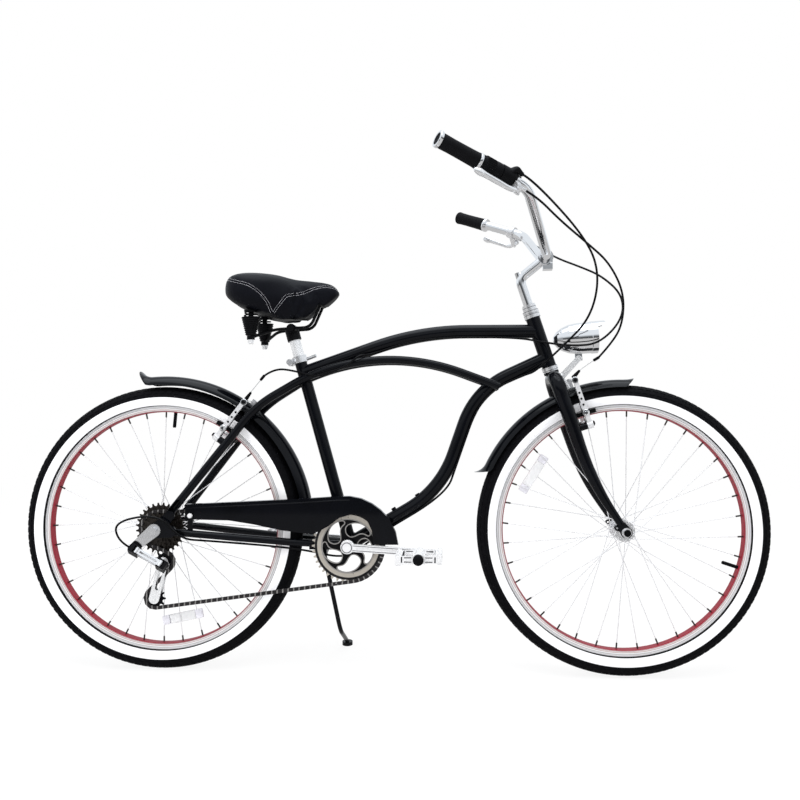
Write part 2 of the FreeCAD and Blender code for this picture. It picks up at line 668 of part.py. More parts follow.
valve_f = math.atan2(249.2 - 330, 1315 - 1065.5)
valve_r = math.atan2(586.9 - 330, 23.5)
build_wheel("front", front_axle_at, v.front_flange_side, v.front_flange_side, v.front_hub_half, v.hub_shell,
    valve_f - math.radians(5), valve_f)
build_wheel("rear", rear_axle_at, v.rear_flange_right, v.rear_flange_left, v.rear_hub_half, v.hub_shell,
    valve_r - math.radians(5), valve_r)

front_axle = [rod(front_axle_at - Y * 68, front_axle_at + Y * 68, v.axle_wire)]
for side in (1, -1):
    washer = rod(front_axle_at + Y * (side * fork_out), front_axle_at + Y * (side * (fork_out + 2)), 11)
    nut = rod(front_axle_at + Y * (side * (fork_out + 2)), front_axle_at + Y * (side * (fork_out + 10)),
        8.2)
    front_axle.append(only(washer.fuse(nut).removeSplitter().cut(front_axle[0])))
keep("front_axle", group(front_axle))

# Drive: chainring, cogs and chain.


def pitch_radius(teeth):
    return v.chain_pitch / (2 * math.sin(math.pi / teeth))


def toothed(teeth, low, high, bore, phase):
    """A sprocket about Y: round seats for the rollers between flat-topped teeth."""
    teeth = int(teeth)
    ring = pitch_radius(teeth)
    seat = v.roller_radius + 0.25
    tip = ring + 2.6
    edges = []
    step = 2 * math.pi / teeth
    for i in range(teeth):
        a = phase + i * step

        def spot(radius, angle):
            return Vector(radius * math.cos(angle), low, radius * math.sin(angle))
        centre = spot(ring, a)
        flank = math.radians(62)
        p1 = centre + Vector(math.cos(a + math.pi + flank), 0, math.sin(a + math.pi + flank)) * seat
        p0 = centre + Vector(math.cos(a + math.pi - flank), 0, math.sin(a + math.pi - flank)) * seat
        pm = spot(ring - seat, a)
        tip_half = 0.12 * step
        t0 = spot(tip, a - step / 2 + tip_half)
        t1 = spot(tip, a + step / 2 - tip_half)
        t2 = spot(tip, a + step / 2 + tip_half)
        if (p0 - t0).Length < (p1 - t0).Length:
            first, last = p0, p1
        else:
            first, last = p1, p0
        edges.append(Part.LineSegment(t0, first).toShape())
        edges.append(Part.Arc(first, pm, last).toShape())
        edges.append(Part.LineSegment(last, t1).toShape())
        edges.append(Part.LineSegment(t1, t2).toShape())
    face = Part.Face(Part.Wire(Part.__sortEdges__(edges)))
    hole = Part.Face(Part.Wire(Part.Circle(Vector(0, low, 0), Y, bore).toShape()))
    return only(face.cut(hole).extrude(Vector(0, high - low, 0)))


ring_r = pitch_radius(v.ring_teeth)
cog_r = pitch_radius(v.cog_teeth)
pulley_r = pitch_radius(v.pulley_teeth)
guide_at = Vector(v.guide_ahead, 0, v.guide_height)
pivot_cage = guide_at + Vector(3, 0, -7)


def tangent(a, ra, b, rb):
    """Contact points of the line from wheel a to wheel b; a clockwise wheel has a positive radius."""
    dx, dz = b.x - a.x, b.z - a.z
    span = math.hypot(dx, dz)
    base = math.atan2(dz, dx)
    lean_in = math.asin((ra - rb) / span)
    normal = base + math.pi / 2 - lean_in
    n = Vector(math.cos(normal), 0, math.sin(normal))
    return a + n * ra, b + n * rb


def chain_path(cage_angle):
    low_pulley = guide_at + Vector(math.cos(cage_angle), 0, math.sin(cage_angle)) * v.cage_length
    wheels = [(rear_axle_at, cog_r), (bb_at, ring_r), (low_pulley, pulley_r), (guide_at, -pulley_r)]
    lines = []
    for i in range(4):
        a, b = wheels[i], wheels[(i + 1) % 4]
        lines.append(tangent(a[0], a[1], b[0], b[1]))
    spans = []
    for i in range(4):
        centre, radius = wheels[(i + 1) % 4]
        spans.append(("line", lines[i][0], lines[i][1]))
        start, finish = lines[i][1] - centre, lines[(i + 1) % 4][0] - centre
        a0, a1 = math.atan2(start.z, start.x), math.atan2(finish.z, finish.x)
        sweep = a1 - a0
        if radius > 0:
            while sweep > 0:
                sweep -= 2 * math.pi
        else:
            while sweep < 0:
                sweep += 2 * math.pi
        spans.append(("arc", centre, abs(radius), a0, sweep))
    return spans, low_pulley


def span_length(span):
    if span[0] == "line":
        return (span[2] - span[1]).Length
    return span[2] * abs(span[4])


def path_point(spans, s):
    total = sum(span_length(p) for p in spans)
    s = s % total
    for p in spans:
        length = span_length(p)
        if s <= length:
            if p[0] == "line":
                return p[1] + (p[2] - p[1]) * (s / length)
            a = p[3] + p[4] * s / length
            return p[1] + Vector(math.cos(a), 0, math.sin(a)) * p[2]
        s -= length
    return path_point(spans, 0)


def walk(cage_angle, links):
    """Steps round the loop one pitch at a time; returns the pins and the closing error."""
    spans, low_pulley = chain_path(cage_angle)
    total = sum(span_length(p) for p in spans)
    s = span_length(spans[0]) + span_length(spans[1]) * 0.5
    start = s
    pins = [path_point(spans, s)]
    for i in range(links):
        low, high = s + v.chain_pitch * 0.98, s + v.chain_pitch * 1.06
        for k in range(40):
            middle = (low + high) / 2
            if (path_point(spans, middle) - pins[-1]).Length < v.chain_pitch:
                low = middle
            else:
                high = middle
        s = (low + high) / 2
        pins.append(path_point(spans, s))
    return pins, s - start - total, low_pulley


cage_guess = math.radians(-102)
spans = chain_path(cage_guess)[0]
links = 2 * int(round(sum(span_length(p) for p in spans) / (2 * v.chain_pitch)))
best = None
for trial in range(-80, 81):
    angle = cage_guess + math.radians(trial * 0.5)
    gap = walk(angle, links)[1]
    if best is None or abs(gap) < abs(best[1]):
        best = (angle, gap)
low, high = best[0] - math.radians(0.5), best[0] + math.radians(0.5)
rising = walk(high, links)[1] > walk(low, links)[1]
for k in range(40):
    middle = (low + high) / 2
    if (walk(middle, links)[1] > 0) == rising:
        high = middle
    else:
        low = middle
cage_angle = (low + high) / 2
pins, closing, low_pulley_at = walk(cage_angle, links)
pins = pins[:-1]
print("chain links %d closing %.4f cage %.3f" % (links, closing, math.degrees(cage_angle)))


def phase_of(centre, radius):
    """The angle of a roller that lies on a wheel's pitch circle."""
    for pin in pins:
        if abs((pin - centre).Length - radius) < 0.002:
            return math.atan2(pin.z - centre.z, pin.x - centre.x)
    return 0.0


inner_links, outer_links = [], []
cl = -v.chain_line
for i in range(links):
    a, b = pins[i], pins[(i + 1) % links]
    a, b = Vector(a.x, 0, a.z), Vector(b.x, 0, b.z)
    parts = []
    if i % 2 == 0:
        for low in (cl - 2.2, cl + 1.25):
            parts.append(hull_plate(a, 4.1, b, 4.05, low, low + 0.95))
        for c in (a, b):
            parts.append(rod(Vector(c.x, cl - 1.3, c.z), Vector(c.x, cl + 1.3, c.z), v.roller_radius))
        link = parts[0].fuse(parts[1:])
        link = link.cut([rod(Vector(c.x, cl - 3, c.z), Vector(c.x, cl + 3, c.z), 1.9) for c in (a, b)])
        inner_links.append(only(link))
    else:
        for low in (cl - 3.2, cl + 2.25):
            parts.append(hull_plate(a, 3.9, b, 3.85, low, low + 0.95))
        for c in (a, b):
            parts.append(rod(Vector(c.x, cl - 3.6, c.z), Vector(c.x, cl + 3.6, c.z), 1.85))
        outer_links.append(only(parts[0].fuse(parts[1:])))
keep("chain", group(inner_links + outer_links))

tooth_low, tooth_high = cl - v.tooth_thick / 2, cl + v.tooth_thick / 2
ring = toothed(v.ring_teeth, tooth_low, tooth_high, 62.0, phase_of(bb_at, ring_r))
place_bb = Placement(bb_at, Rotation())
keep("chainring", moved(ring, place_bb))
spider = rod(Vector(0, tooth_low - 0.6, 0), Vector(0, tooth_high + 0.6, 0), 62.0)
cuts = [rod(Vector(0, -60, 0), Vector(0, -20, 0), 17.0)]
swirl_line = [(22.5, 0), (27, 17), (35.5, 21), (44, 17), (50, 6), (54.5, -6), (57.6, -18), (59, -31),
    (58.5, -42),
              (56.3, -48.5), (53, -49.5), (50, -46), (46.5, -39), (41, -32), (35.5, -27), (29, -21), (24.5,
                  -12)]
for k in range(5):
    corners = []
    for reach, turn in swirl_line:
        a = math.radians(5 + 72 * k + turn)
        corners.append(Vector(reach * math.cos(a), -60, reach * math.sin(a)))
    curve = Part.BSplineCurve()
    curve.interpolate(corners, True)
    cuts.append(Part.Face(Part.Wire(curve.toShape())).extrude(Y * 40))
spider = only(spider.cut(cuts).fuse(rod(Vector(0, -57.5, 0), Vector(0, -38, 0), 17.0).cut(
    rod(Vector(0, -60, 0), Vector(0, -20, 0), 9.5))).removeSplitter())
keep("chainring_spider", moved(spider, place_bb))

cogs = []
numbers = [28, 24, 22, int(v.cog_teeth), 18, 16, 14]
for k, teeth in enumerate(numbers):
    y = -(v.chain_line - 3 * v.cog_step) - k * v.cog_step
    phase = phase_of(rear_axle_at, cog_r) if k == 3 else 0.0
    cogs.append(toothed(teeth, y - v.tooth_thick / 2, y + v.tooth_thick / 2, 20.0, phase))
body_low, body_high = -(v.chain_line + 3 * v.cog_step) - 2.0, -(v.rear_flange_right + 6.2)
core = rod(Vector(0, body_low, 0), Vector(0, body_high, 0), 20.0)
core = only(core.cut(rod(Vector(0, -70, 0), Vector(0, 0, 0), 9.2)))
keep("freewheel", moved(group(cogs + [core]), Placement(rear_axle_at, Rotation())))

rear_axle = [rod(rear_axle_at - Y * 84, rear_axle_at + Y * 84, v.axle_wire)]
for side in (1, -1):
    start = drop_high if side > 0 else drop_high + 3.0
    nut = rod(rear_axle_at + Y * (side * start), rear_axle_at + Y * (side * (start + 2)), 11)
    nut = nut.fuse(rod(rear_axle_at + Y * (side * (start + 2)), rear_axle_at + Y * (side * (start + 9)),
        8.6))
    rear_axle.append(only(nut.removeSplitter().cut(rear_axle[0])))

# Derailleur: a claw on the axle carries a block with two parallel links.
link_from = Vector(-40, -71, 282)
link_way = Vector(0.879, 0, -0.477).normalize()
link_span = 62.0
slide_way = Vector(0, 0.83, -0.56).normalize()
hinge_way = link_way.cross(slide_way).normalize()
across_way = hinge_way.cross(link_way).normalize()
link_half = 8.5


def in_links(along, across, up):
    return link_from + link_way * along + across_way * across + hinge_way * up


def slab(a0, a1, c0, c1, u0, u1):
    """A block in the links' own directions."""
    base = [in_links(a0, c0, u0), in_links(a1, c0, u0), in_links(a1, c1, u0), in_links(a0, c1, u0)]
    return Part.Face(Part.makePolygon(base + base[:1])).extrude(hinge_way * (u1 - u0))


def knuckle_block(centre, back0, back1):
    cheeks = []
    lo, hi = min(centre - 6, back0), max(centre + 6, back0)
    for u0, u1 in ((7.3, 10.3), (-10.3, -7.3)):
        cheeks.append(slab(lo, hi, -14, 14, u0, u1))
    block = slab(min(back0, back1), max(back0, back1), -14, 14, -10.3, 10.3)
    pins_here = [rod(in_links(centre, c, -9), in_links(centre, c, 9), 2.2) for c in (link_half, -link_half)]
    return only(block.fuse(cheeks + pins_here).removeSplitter())


def link_arm(across):
    eyes = [rod(in_links(a, across, -7), in_links(a, across, 7), 4.6) for a in (0, link_span)]
    bar = slab(0, link_span, across - 2, across + 2, -6.5, 6.5)
    bar = bar.cut(slab(8, link_span - 8, across - 3, across + 3, -2.2, 2.2))
    arm = bar.fuse(eyes).cut([rod(in_links(a, across, -12), in_links(a, across, 12),
        2.2 + v.running_gap) for a in (0, link_span)])
    return only(arm.removeSplitter())


block = knuckle_block(0, -7.5, -17)
claw_end = in_links(-12, 0, 0)
claw_y = -(drop_high + 3.0)
boss = rod(Vector(claw_end.x, claw_y, claw_end.z), Vector(claw_end.x, -58, claw_end.z), 7.5)
block_pins = [rod(in_links(0, c, -9), in_links(0, c, 9), 2.2) for c in (link_half, -link_half)]
block = block.fuse(boss).cut(slab(-5.6, 30, -20, 20, -7.2, 7.2)).fuse(block_pins)
block = max(block.Solids, key=lambda s: s.Volume)
claw = hull_plate(rear_axle_at, 15, Vector(claw_end.x, 0, claw_end.z), 10, claw_y, claw_y + 3.0)
claw = claw.cut(rear_axle[0])
claw_bolt = rod(Vector(claw_end.x, claw_y - 5, claw_end.z), Vector(claw_end.x, claw_y, claw_end.z), 6.0)
claw = only(claw.fuse([claw_bolt, block]).cut(slab(-5.6, 30, -20, 20, -7.2,
    7.2)).fuse(block_pins).removeSplitter())
claw = max(claw.Solids, key=lambda s: s.Volume)
keep("rear_axle", group(rear_axle + [claw]))
keep("derailleur_outer_link", link_arm(-link_half))
keep("derailleur_inner_link", link_arm(link_half))

plate_low = cl - 8.0
knuckle = knuckle_block(link_span, link_span + 7.5, link_span + 15)
knuckle = knuckle.fuse(rod(Vector(pivot_cage.x, -64, pivot_cage.z),
    Vector(pivot_cage.x, plate_low - v.side_gap, pivot_cage.z), 9.0))
knuckle = knuckle.fuse(rod(Vector(pivot_cage.x, -62, pivot_cage.z),
    Vector(pivot_cage.x, plate_low + 2.0, pivot_cage.z), 4.0))
link_pins = [rod(in_links(link_span, c, -9), in_links(link_span, c, 9), 2.2) for c in (link_half,
    -link_half)]
swing_room = slab(-20, link_span + 6.0, -30, 30, -7.25, 7.25)
knuckle = knuckle.cut(swing_room).fuse(link_pins)
knuckle = only(knuckle.removeSplitter())
keep("derailleur_knuckle", max(knuckle.Solids, key=lambda s: s.Volume))

cage_parts = []
for low in (plate_low, cl + 6.0):
    side = hull_plate(guide_at, 11, low_pulley_at, 12, low, low + 2.0)
    side = side.fuse(hull_plate(pivot_cage, 11, guide_at, 10, low, low + 2.0))
    cage_run = low_pulley_at - guide_at
    side = side.cut(hull_plate(guide_at + cage_run * 0.27, 4.8, guide_at + cage_run * 0.72, 4.2, low - 1,
        low + 3.0))
    cage_parts.append(side)
cage = cage_parts[0].fuse(cage_parts[1])
for c in (guide_at, low_pulley_at):
    cage = cage.fuse(rod(Vector(c.x, plate_low - 2 if c is low_pulley_at else plate_low, c.z),
        Vector(c.x, cl + 9.0, c.z), 3.0))
cage = cage.cut(rod(Vector(pivot_cage.x, -70, pivot_cage.z),
    Vector(pivot_cage.x, plate_low + 2.5, pivot_cage.z), 4.0 + v.running_gap))
keep("derailleur_cage", only(cage.removeSplitter()))
for name, centre in (("guide_pulley", guide_at), ("tension_pulley", low_pulley_at)):
    wheel = toothed(v.pulley_teeth, -1.0, 1.0, 3.0 + v.running_gap, phase_of(centre, pulley_r))
    hubs = rod(Vector(0, -5.6, 0), Vector(0, 5.6, 0),
        7.0).cut(rod(Vector(0, -9, 0), Vector(0, 9, 0), 3.0 + v.running_gap))
    wheel = only(wheel.fuse(hubs).removeSplitter())
    keep(name, moved(wheel, Placement(Vector(centre.x, cl, centre.z), Rotation())))

# Cranks and pedals.
crank_way = Vector(math.cos(math.radians(v.crank_angle)), 0, -math.sin(math.radians(v.crank_angle)))
arm_low, arm_high = -(v.crank_inner + v.crank_thick), -v.crank_inner
pedal_right_at = bb_at + crank_way * v.crank_length
pedal_left_at = bb_at - crank_way * v.crank_length
spindle = rod(bb_at - Y * 66, bb_at + Y * 66, 8.5)
arms = [spindle]
for side, tip in ((-1, pedal_right_at), (1, pedal_left_at)):
    low, high = (arm_low, arm_high) if side < 0 else (-arm_high, -arm_low)
    out = (tip - bb_at).normalize()
    face = low if side < 0 else high
    arm = hull_plate(bb_at, v.crank_half_height, tip, v.crank_half_height, low, high)
    arm = arm.fuse([rod(Vector(at.x, low, at.z), Vector(at.x, high, at.z), r) for at, r in (
        (bb_at, v.crank_boss), (tip, v.crank_eye))])
    arm = arm.cut(hull_plate(bb_at + out * 24, 2.4, tip - out * 22, 2.4, face - 1.2, face + 1.2))
    if side < 0:
        arm = arm.fuse(rod(Vector(bb_at.x, arm_high, bb_at.z), Vector(bb_at.x, -57.5, bb_at.z), 16.0))
    else:
        arm = arm.fuse(rod(Vector(bb_at.x, 52, bb_at.z), Vector(bb_at.x, -arm_high, bb_at.z), 15.0))
    dust = rod(Vector(bb_at.x, side * (v.crank_inner + v.crank_thick), bb_at.z),
        Vector(bb_at.x, side * (v.crank_inner + v.crank_thick + 2), bb_at.z), 9.5)
    arm = arm.fuse(dust).cut(spindle)
    pin = rod(Vector(tip.x, side * (v.crank_inner + 2), tip.z),
        Vector(tip.x, side * (v.crank_inner + v.crank_thick + 8 + v.pedal_width), tip.z), v.pedal_pin)
    collar = rod(Vector(tip.x, side * (v.crank_inner + v.crank_thick), tip.z),
        Vector(tip.x, side * (v.crank_inner + v.crank_thick + 5), tip.z), 8.5)
    pin = pin.fuse(collar)
    arms.append(only(arm.fuse(pin).removeSplitter()))
keep("cranks", group(arms))

pedal_tilt = -2.0
for name, side, tip in (("pedal_right", -1, pedal_right_at), ("pedal_left", 1, pedal_left_at)):
    y0 = v.crank_inner + v.crank_thick + 6.0
    y1 = y0 + v.pedal_width
    barrel = rod(Vector(0, y0, 0), Vector(0, y1 + 5, 0), 10.5)
    half_l, half_t = v.pedal_length / 2, v.pedal_thick / 2
    side_in = Part.makeBox(v.pedal_length - 20, 3, v.pedal_thick - 6, Vector(-half_l + 10, y0, -half_t + 3))
    side_out = Part.makeBox(v.pedal_length - 16, 3, v.pedal_thick - 6,
        Vector(-half_l + 8, y1 - 3, -half_t + 3))
    bars = []
    for end in (1, -1):
        outline = [(end * (half_l - 14), -half_t + 4), (end * half_l, -half_t + 3),
            (end * half_l, half_t - 3), (end * (half_l - 14), half_t - 4)]
        bars.append(plate(outline, y0, y1).cut(Part.makeBox(30, v.pedal_width - 24, v.pedal_thick - 12,
            Vector(-15 + end * (half_l - 8), y0 + 12, -half_t + 6))))
        for k in range(8):
            y = y0 + 4 + k * (v.pedal_width - 8) / 7.0
            for up in (1, -1):
                bars.append(Part.makeBox(10, 4, 4.5, Vector(end * (half_l - 6) - 5, y - 2,
                    up * (half_t - 2.2) - 2.25)))
    web = Part.makeBox(v.pedal_length - 24, v.pedal_width, 5, Vector(-half_l + 12, y0, -2.5))
    web = web.cut([Part.makeBox(22, v.pedal_width - 24, 20, Vector(x, y0 + 12, -10)) for x in (-35, 13)])
    shape = barrel.fuse([side_in, side_out, web] + bars)
    shape = shape.cut(rod(Vector(0, y0 - 5, 0), Vector(0, y1 + 2.4, 0), v.pedal_pin + v.running_gap))
    shape = only(shape.removeSplitter())
    shape.Placement = Placement(Vector(), Rotation(Y, pedal_tilt))
    if side < 0:
        shape = mirror(shape)
    keep(name, moved(shape, Placement(Vector(tip.x, 0, tip.z), Rotation())))

# Mudguards and chain guard.


def guard_wire(radius, depth, crown=(0.0, 0.0), skirt=(0.0, 0.0)):
    """The guard's crescent across its run; crown and skirt move on along the run and out."""
    w, t = v.guard_half_width, v.guard_sheet
    edge = Vector(radius - depth + skirt[1], 0, skirt[0])
    top = Vector(radius + crown[1], 0, crown[0])
    under = top + (edge - top).normalize() * t
    outer = Part.Arc(edge - Y * w, top, edge + Y * w)
    inner = Part.Arc(edge + Y * (w - t), under, edge - Y * (w - t))
    rims = [Part.LineSegment(edge + Y * w, edge + Y * (w - t)),
        Part.LineSegment(edge - Y * (w - t), edge - Y * w)]
    sides = [outer.toShape(), rims[0].toShape(), inner.toShape(), rims[1].toShape()]
    return Part.Wire(Part.__sortEdges__(sides))


def mudguard(centre, radius, depth, first, last, front_end, back_end):
    """A guard round the axle from angle to angle; each end turns up, its crown reaching past the skirts."""
    main = Part.Face(guard_wire(radius, depth)).revolve(Vector(0, 0, 0), Y, first - last)
    main.Placement = Placement(Vector(), Rotation(Y, -first))
    parts = [main]
    for angle, rows, sign in ((first, front_end, -1), (last, back_end, 1)):
        if rows:
            wires = [guard_wire(radius, depth)]
            for crown_on, crown_up, skirt_on, skirt_up in rows:
                wires.append(guard_wire(radius, depth, (sign * crown_on, crown_up),
                    (sign * skirt_on, skirt_up)))
            tip = Part.makeLoft(wires, True)
            tip.Placement = Placement(Vector(), Rotation(Y, -angle))
            parts.append(tip)
    whole = parts[0]
    if len(parts) > 1:
        whole = whole.fuse(parts[1:]).removeSplitter()
    return moved(only(whole), Placement(centre, Rotation()))


duck_tail = [(10.0, 1.8, 4.0, 0.8), (20.0, 7.0, 8.0, 2.0), (28.5, 15.5, 11.0, 3.6)]
nose_tip = [(8.0, 0.4, 1.2, 0.1), (15.0, 1.3, 2.2, 0.2), (22.5, 3.0, 3.2, 0.3)]
rear_guard = mudguard(rear_axle_at, v.rear_guard_radius, v.rear_guard_depth, 0.0, 95.0, None, duck_tail)
keep("rear_mudguard", rear_guard)
front_guard = mudguard(front_axle_at, v.front_guard_radius, v.front_guard_depth, 88.9, 154.2, nose_tip,
    duck_tail)
keep("front_mudguard", front_guard)

outer_y = -(v.chain_guard_side + v.chain_guard_sheet)
inner_y = -v.chain_guard_side
outline = [(65, 387.8), (200, 394.5), (334, 401.6), (420, 407.5), (446, 408), (472, 403), (497, 391.5),
    (517, 377),
           (537, 356), (551, 327), (556.5, 299), (500, 298.4)]
arc_cut = [(497.0, 330.0), (483, 361), (456.2, 369), (422.1, 358.7), (398.2, 340.2), (361.6, 321),
    (286, 330.4), (226, 342.7), (168, 351.5), (65, 353.6)]
guard = plate(outline + arc_cut, outer_y, inner_y)
upper = outline[:11]
press_drop = 9
press_line = []
for a, b in zip(upper[:4], upper[1:5]):
    run = Vector(b[0] - a[0], 0, b[1] - a[1])
    press_line.append(Part.makeCylinder(1.6, run.Length, Vector(a[0], outer_y + 0.6, a[1] - press_drop),
        run))
guard = guard.fuse(press_line)
lip = []
for k in range(len(upper) - 1):
    a, b = upper[k], upper[k + 1]
    corners = [Vector(a[0], inner_y - 0.5, a[1]), Vector(b[0], inner_y - 0.5, b[1]),
        Vector(b[0], inner_y - 0.5, b[1] - 1.8), Vector(a[0], inner_y - 0.5, a[1] - 1.8)]
    lip.append(Part.Face(Part.makePolygon(corners + corners[:1])).extrude(Vector(0, 14, 0)))
guard = guard.fuse(lip)
bolt = rod(Vector(78.3, outer_y - 6, 362.4), Vector(78.3, outer_y, 362.4), 5.0)
strap_rear = Part.makeBox(12, 2.5, 52, Vector(72.3, outer_y - 2.5, 320)).cut(mirror(chain_stay_outer))
strap_rear = max(strap_rear.Solids, key=lambda s: s.BoundBox.ZMax)
tab_seat = Part.makeBox(16, -inner_y - v.seat_tube_radius * 0.3, 5,
    Vector(on_seat(398).x - 8, inner_y, 399)).cut(seat_block)
guard = guard.fuse([bolt, strap_rear, max(tab_seat.Solids, key=lambda s: -s.BoundBox.Center.y)])
keep("chain_guard", only(guard.removeSplitter()))

# Stand leg, cranked so that the pedal passes it.
lift_line = lift / math.cos(lean)
foot_height = v.stand_foot_side * math.tan(lean) - lift_line
foot_at = Vector(v.stand_foot_ahead, v.stand_foot_side, foot_height)
ground_up = Vector(0, -math.sin(lean), math.cos(lean))
leg_end = foot_at + ground_up * 8
stand_knee = Vector(v.stand_knee_ahead, v.stand_knee_side, v.stand_knee_height)
leg = bent([stand_pivot, stand_knee, leg_end], [v.stand_knee_radius], v.stand_leg_radius)
eye = rod(stand_pivot - stand_axis * 9, stand_pivot + stand_axis * 9, 12)
leg = leg.fuse([eye, rod(foot_at, foot_at + ground_up * 9, 13.0)])
leg = leg.cut(rod(stand_pivot - stand_axis * 40, stand_pivot + stand_axis * 9.4, 5.0 + v.running_gap))
keep("kickstand_leg", only(leg.removeSplitter()))

# Handlebar group, turned a little in its clamp.
BAR = Placement(head_at, Rotation(head_up, -v.bar_turn)).multiply(Placement(head_at * -1, Rotation()))


def keep_bar(label, shape):
    keep(label, moved(shape, BAR))


knee = head_at + head_up * v.stem_knee
clamp_at = Vector(v.bar_centre_ahead, 0, v.bar_centre_height)
stem = bent([head_at + head_up * 15, knee, clamp_at], [22.0], v.quill_radius)
clamp = rod(clamp_at - Y * 21, clamp_at + Y * 21, 17.5)
ear = Part.makeBox(22, 30, 20, Vector(clamp_at.x - 6, -15, clamp_at.z - 27))
stem = stem.fuse([clamp, ear])
stem = stem.cut([rod(clamp_at - Y * 30, clamp_at + Y * 30, v.bar_sleeve),
    Part.makeBox(40, 42, 2.5, Vector(clamp_at.x + 9, -21, clamp_at.z - 14))])
top_bolt = rod(knee, knee + head_up * 15, 7.0)
stem = only(stem.fuse(top_bolt).cut(rod(clamp_at - Y * 30, clamp_at + Y * 30,
    v.bar_sleeve)).removeSplitter())
keep_bar("stem", max(stem.Solids, key=lambda s: s.Volume))

bend_l = Vector(v.bar_bend_ahead, v.bar_bend_side, v.bar_bend_height)
end_l = Vector(v.bar_end_ahead, v.bar_end_side, v.bar_end_height)
centre_l = Vector(v.bar_centre_ahead, v.bar_centre_side, v.bar_centre_height)


def flip(p):
    return Vector(p.x, -p.y, p.z)


bar_line = [end_l, bend_l, centre_l, flip(centre_l), flip(bend_l), flip(end_l)]
bar = bent(bar_line, [60.0, 45.0, 45.0, 60.0], v.bar_radius, v.bar_radius - 1.6)
sleeve = rod(clamp_at - Y * 24, clamp_at + Y * 24,
    v.bar_sleeve).cut(rod(clamp_at - Y * 26, clamp_at + Y * 26, v.bar_radius - 0.5))
keep_bar("handlebar", only(bar.fuse(sleeve).removeSplitter()))

grip_way = (bend_l - end_l).normalize()


def on_grip(t):
    return end_l + grip_way * t


hole_l = rod(on_grip(0), on_grip(210), v.bar_radius)
grip = rod(on_grip(-4), on_grip(v.grip_length), v.grip_radius)
grip = grip.fuse([rod(on_grip(-4), on_grip(4), v.grip_radius + 2),
    rod(on_grip(v.grip_length - 5), on_grip(v.grip_length), v.grip_radius + 2)])
grip = only(grip.removeSplitter().cut(hole_l))
keep_bar("grips", group(pair(grip)))

twist_from = v.grip_length + v.side_gap
twist_to = twist_from + v.twist_length
house_from = twist_to + v.side_gap
house_to = house_from + v.housing_length
twist = rod(on_grip(twist_from), on_grip(twist_to),
    v.twist_radius).cut(rod(on_grip(twist_from - 2), on_grip(twist_to + 2), v.bar_radius + v.running_gap))
keep_bar("shifter_grip", mirror(only(twist)))
house = rod(on_grip(house_from), on_grip(house_to), v.housing_radius)
lever_out = (Vector(0.75, 0, -0.66) - grip_way * Vector(0.75, 0, -0.66).dot(grip_way)).normalize()
spout_from = on_grip(house_from + 13)
spout_way = grip_way
spout_side = grip_way.cross(lever_out).normalize() * 20.4
outward = spout_side * (1 / spout_side.Length)
spout = loft_rounds([(spout_from + outward * off + spout_way * t, spout_way, r) for t, off, r in (
    (0.0, 8.5, 11.0), (8.0, 17.5, 9.5), (14.0, 23.0, 6.8), (22.0, 22.0, 5.4), (30.0, 20.4, 4.3))])
house = only(house.fuse(spout).cut(rod(on_grip(house_from - 2), on_grip(house_to + 2),
    v.bar_radius)).removeSplitter())
keep_bar("shifter_housing", mirror(max(house.Solids, key=lambda s: s.Volume)))

bracket_from, bracket_to = house_to + 1.0, house_to + 17.0
lever_axis = grip_way.cross(lever_out).normalize()
lever_pivot = on_grip((bracket_from + bracket_to) / 2 + 4) + lever_out * v.lever_offset
lever_tip = on_grip(84) + lever_out * (v.lever_offset + 15)
clamp_ring = rod(on_grip(bracket_from), on_grip(bracket_to), 15.5)
fork_ears = []
for low in (-8.0, 5.0):
    base = lever_pivot + lever_axis * low
    fork_ears.append(rod(base, base + lever_axis * 3.0, 7.5))
    mid = on_grip((bracket_from + bracket_to) / 2)
    side = (lever_pivot - mid).normalize()
    wide = lever_axis.cross(side).normalize()
    corners = [mid + wide * 7 + lever_axis * low, lever_pivot + wide * 6 + lever_axis * low,
        lever_pivot - wide * 6 + lever_axis * low, mid - wide * 7 + lever_axis * low]
    fork_ears.append(Part.Face(Part.makePolygon(corners + corners[:1])).extrude(lever_axis * 3.0))
web_mid = [mid + wide * 7 - lever_axis * 8, mid + side * 22 + wide * 6.5 - lever_axis * 8,
    mid + side * 22 - wide * 6.5 - lever_axis * 8, mid - wide * 7 - lever_axis * 8]
fork_ears.append(Part.Face(Part.makePolygon(web_mid + web_mid[:1])).extrude(lever_axis * 16.0))
barrel = rod(mid + side * 16 + grip_way * 4, mid + side * 16 + grip_way * 24, 4.5)
pin = rod(lever_pivot - lever_axis * 7, lever_pivot + lever_axis * 7, 2.5)
clamp_part = clamp_ring.fuse(fork_ears + [barrel, pin]).cut(hole_l)
clamp_part = max(clamp_part.removeSplitter().Solids, key=lambda s: s.Volume)
keep_bar("lever_brackets", group(pair(clamp_part)))

knee_lever = lever_pivot - grip_way * 22 + lever_out * 17
stations = []
for f, thick in ((0.0, 4.6), (0.12, 4.8), (0.3, 5.2), (0.5, 5.4), (0.7, 5.6), (0.86, 6.2), (0.95, 7.2),
    (1.0, 6.4)):
    spot, run = along_route([lever_pivot + lever_out * 3, knee_lever, lever_tip], [16.0], [f])[0]
    stations.append((spot, run, thick))
blade = loft_rounds(stations)
hub_l = rod(lever_pivot - lever_axis * 4.7, lever_pivot + lever_axis * 4.7, 6.2)
tip_run = stations[-1][1]
tip_wide = lever_axis.cross(tip_run).normalize()
oval = Part.makeSphere(1.0).transformGeometry(Matrix(*[c for row in zip(tip_run * 13.5, tip_wide * 8.0,
    lever_axis * 6.4) for c in list(row) + [0.0]], 0, 0, 0, 1))
oval.translate(stations[-1][0] - tip_run * 4 + lever_out * 1.0)
blade = blade.fuse([hub_l, oval])
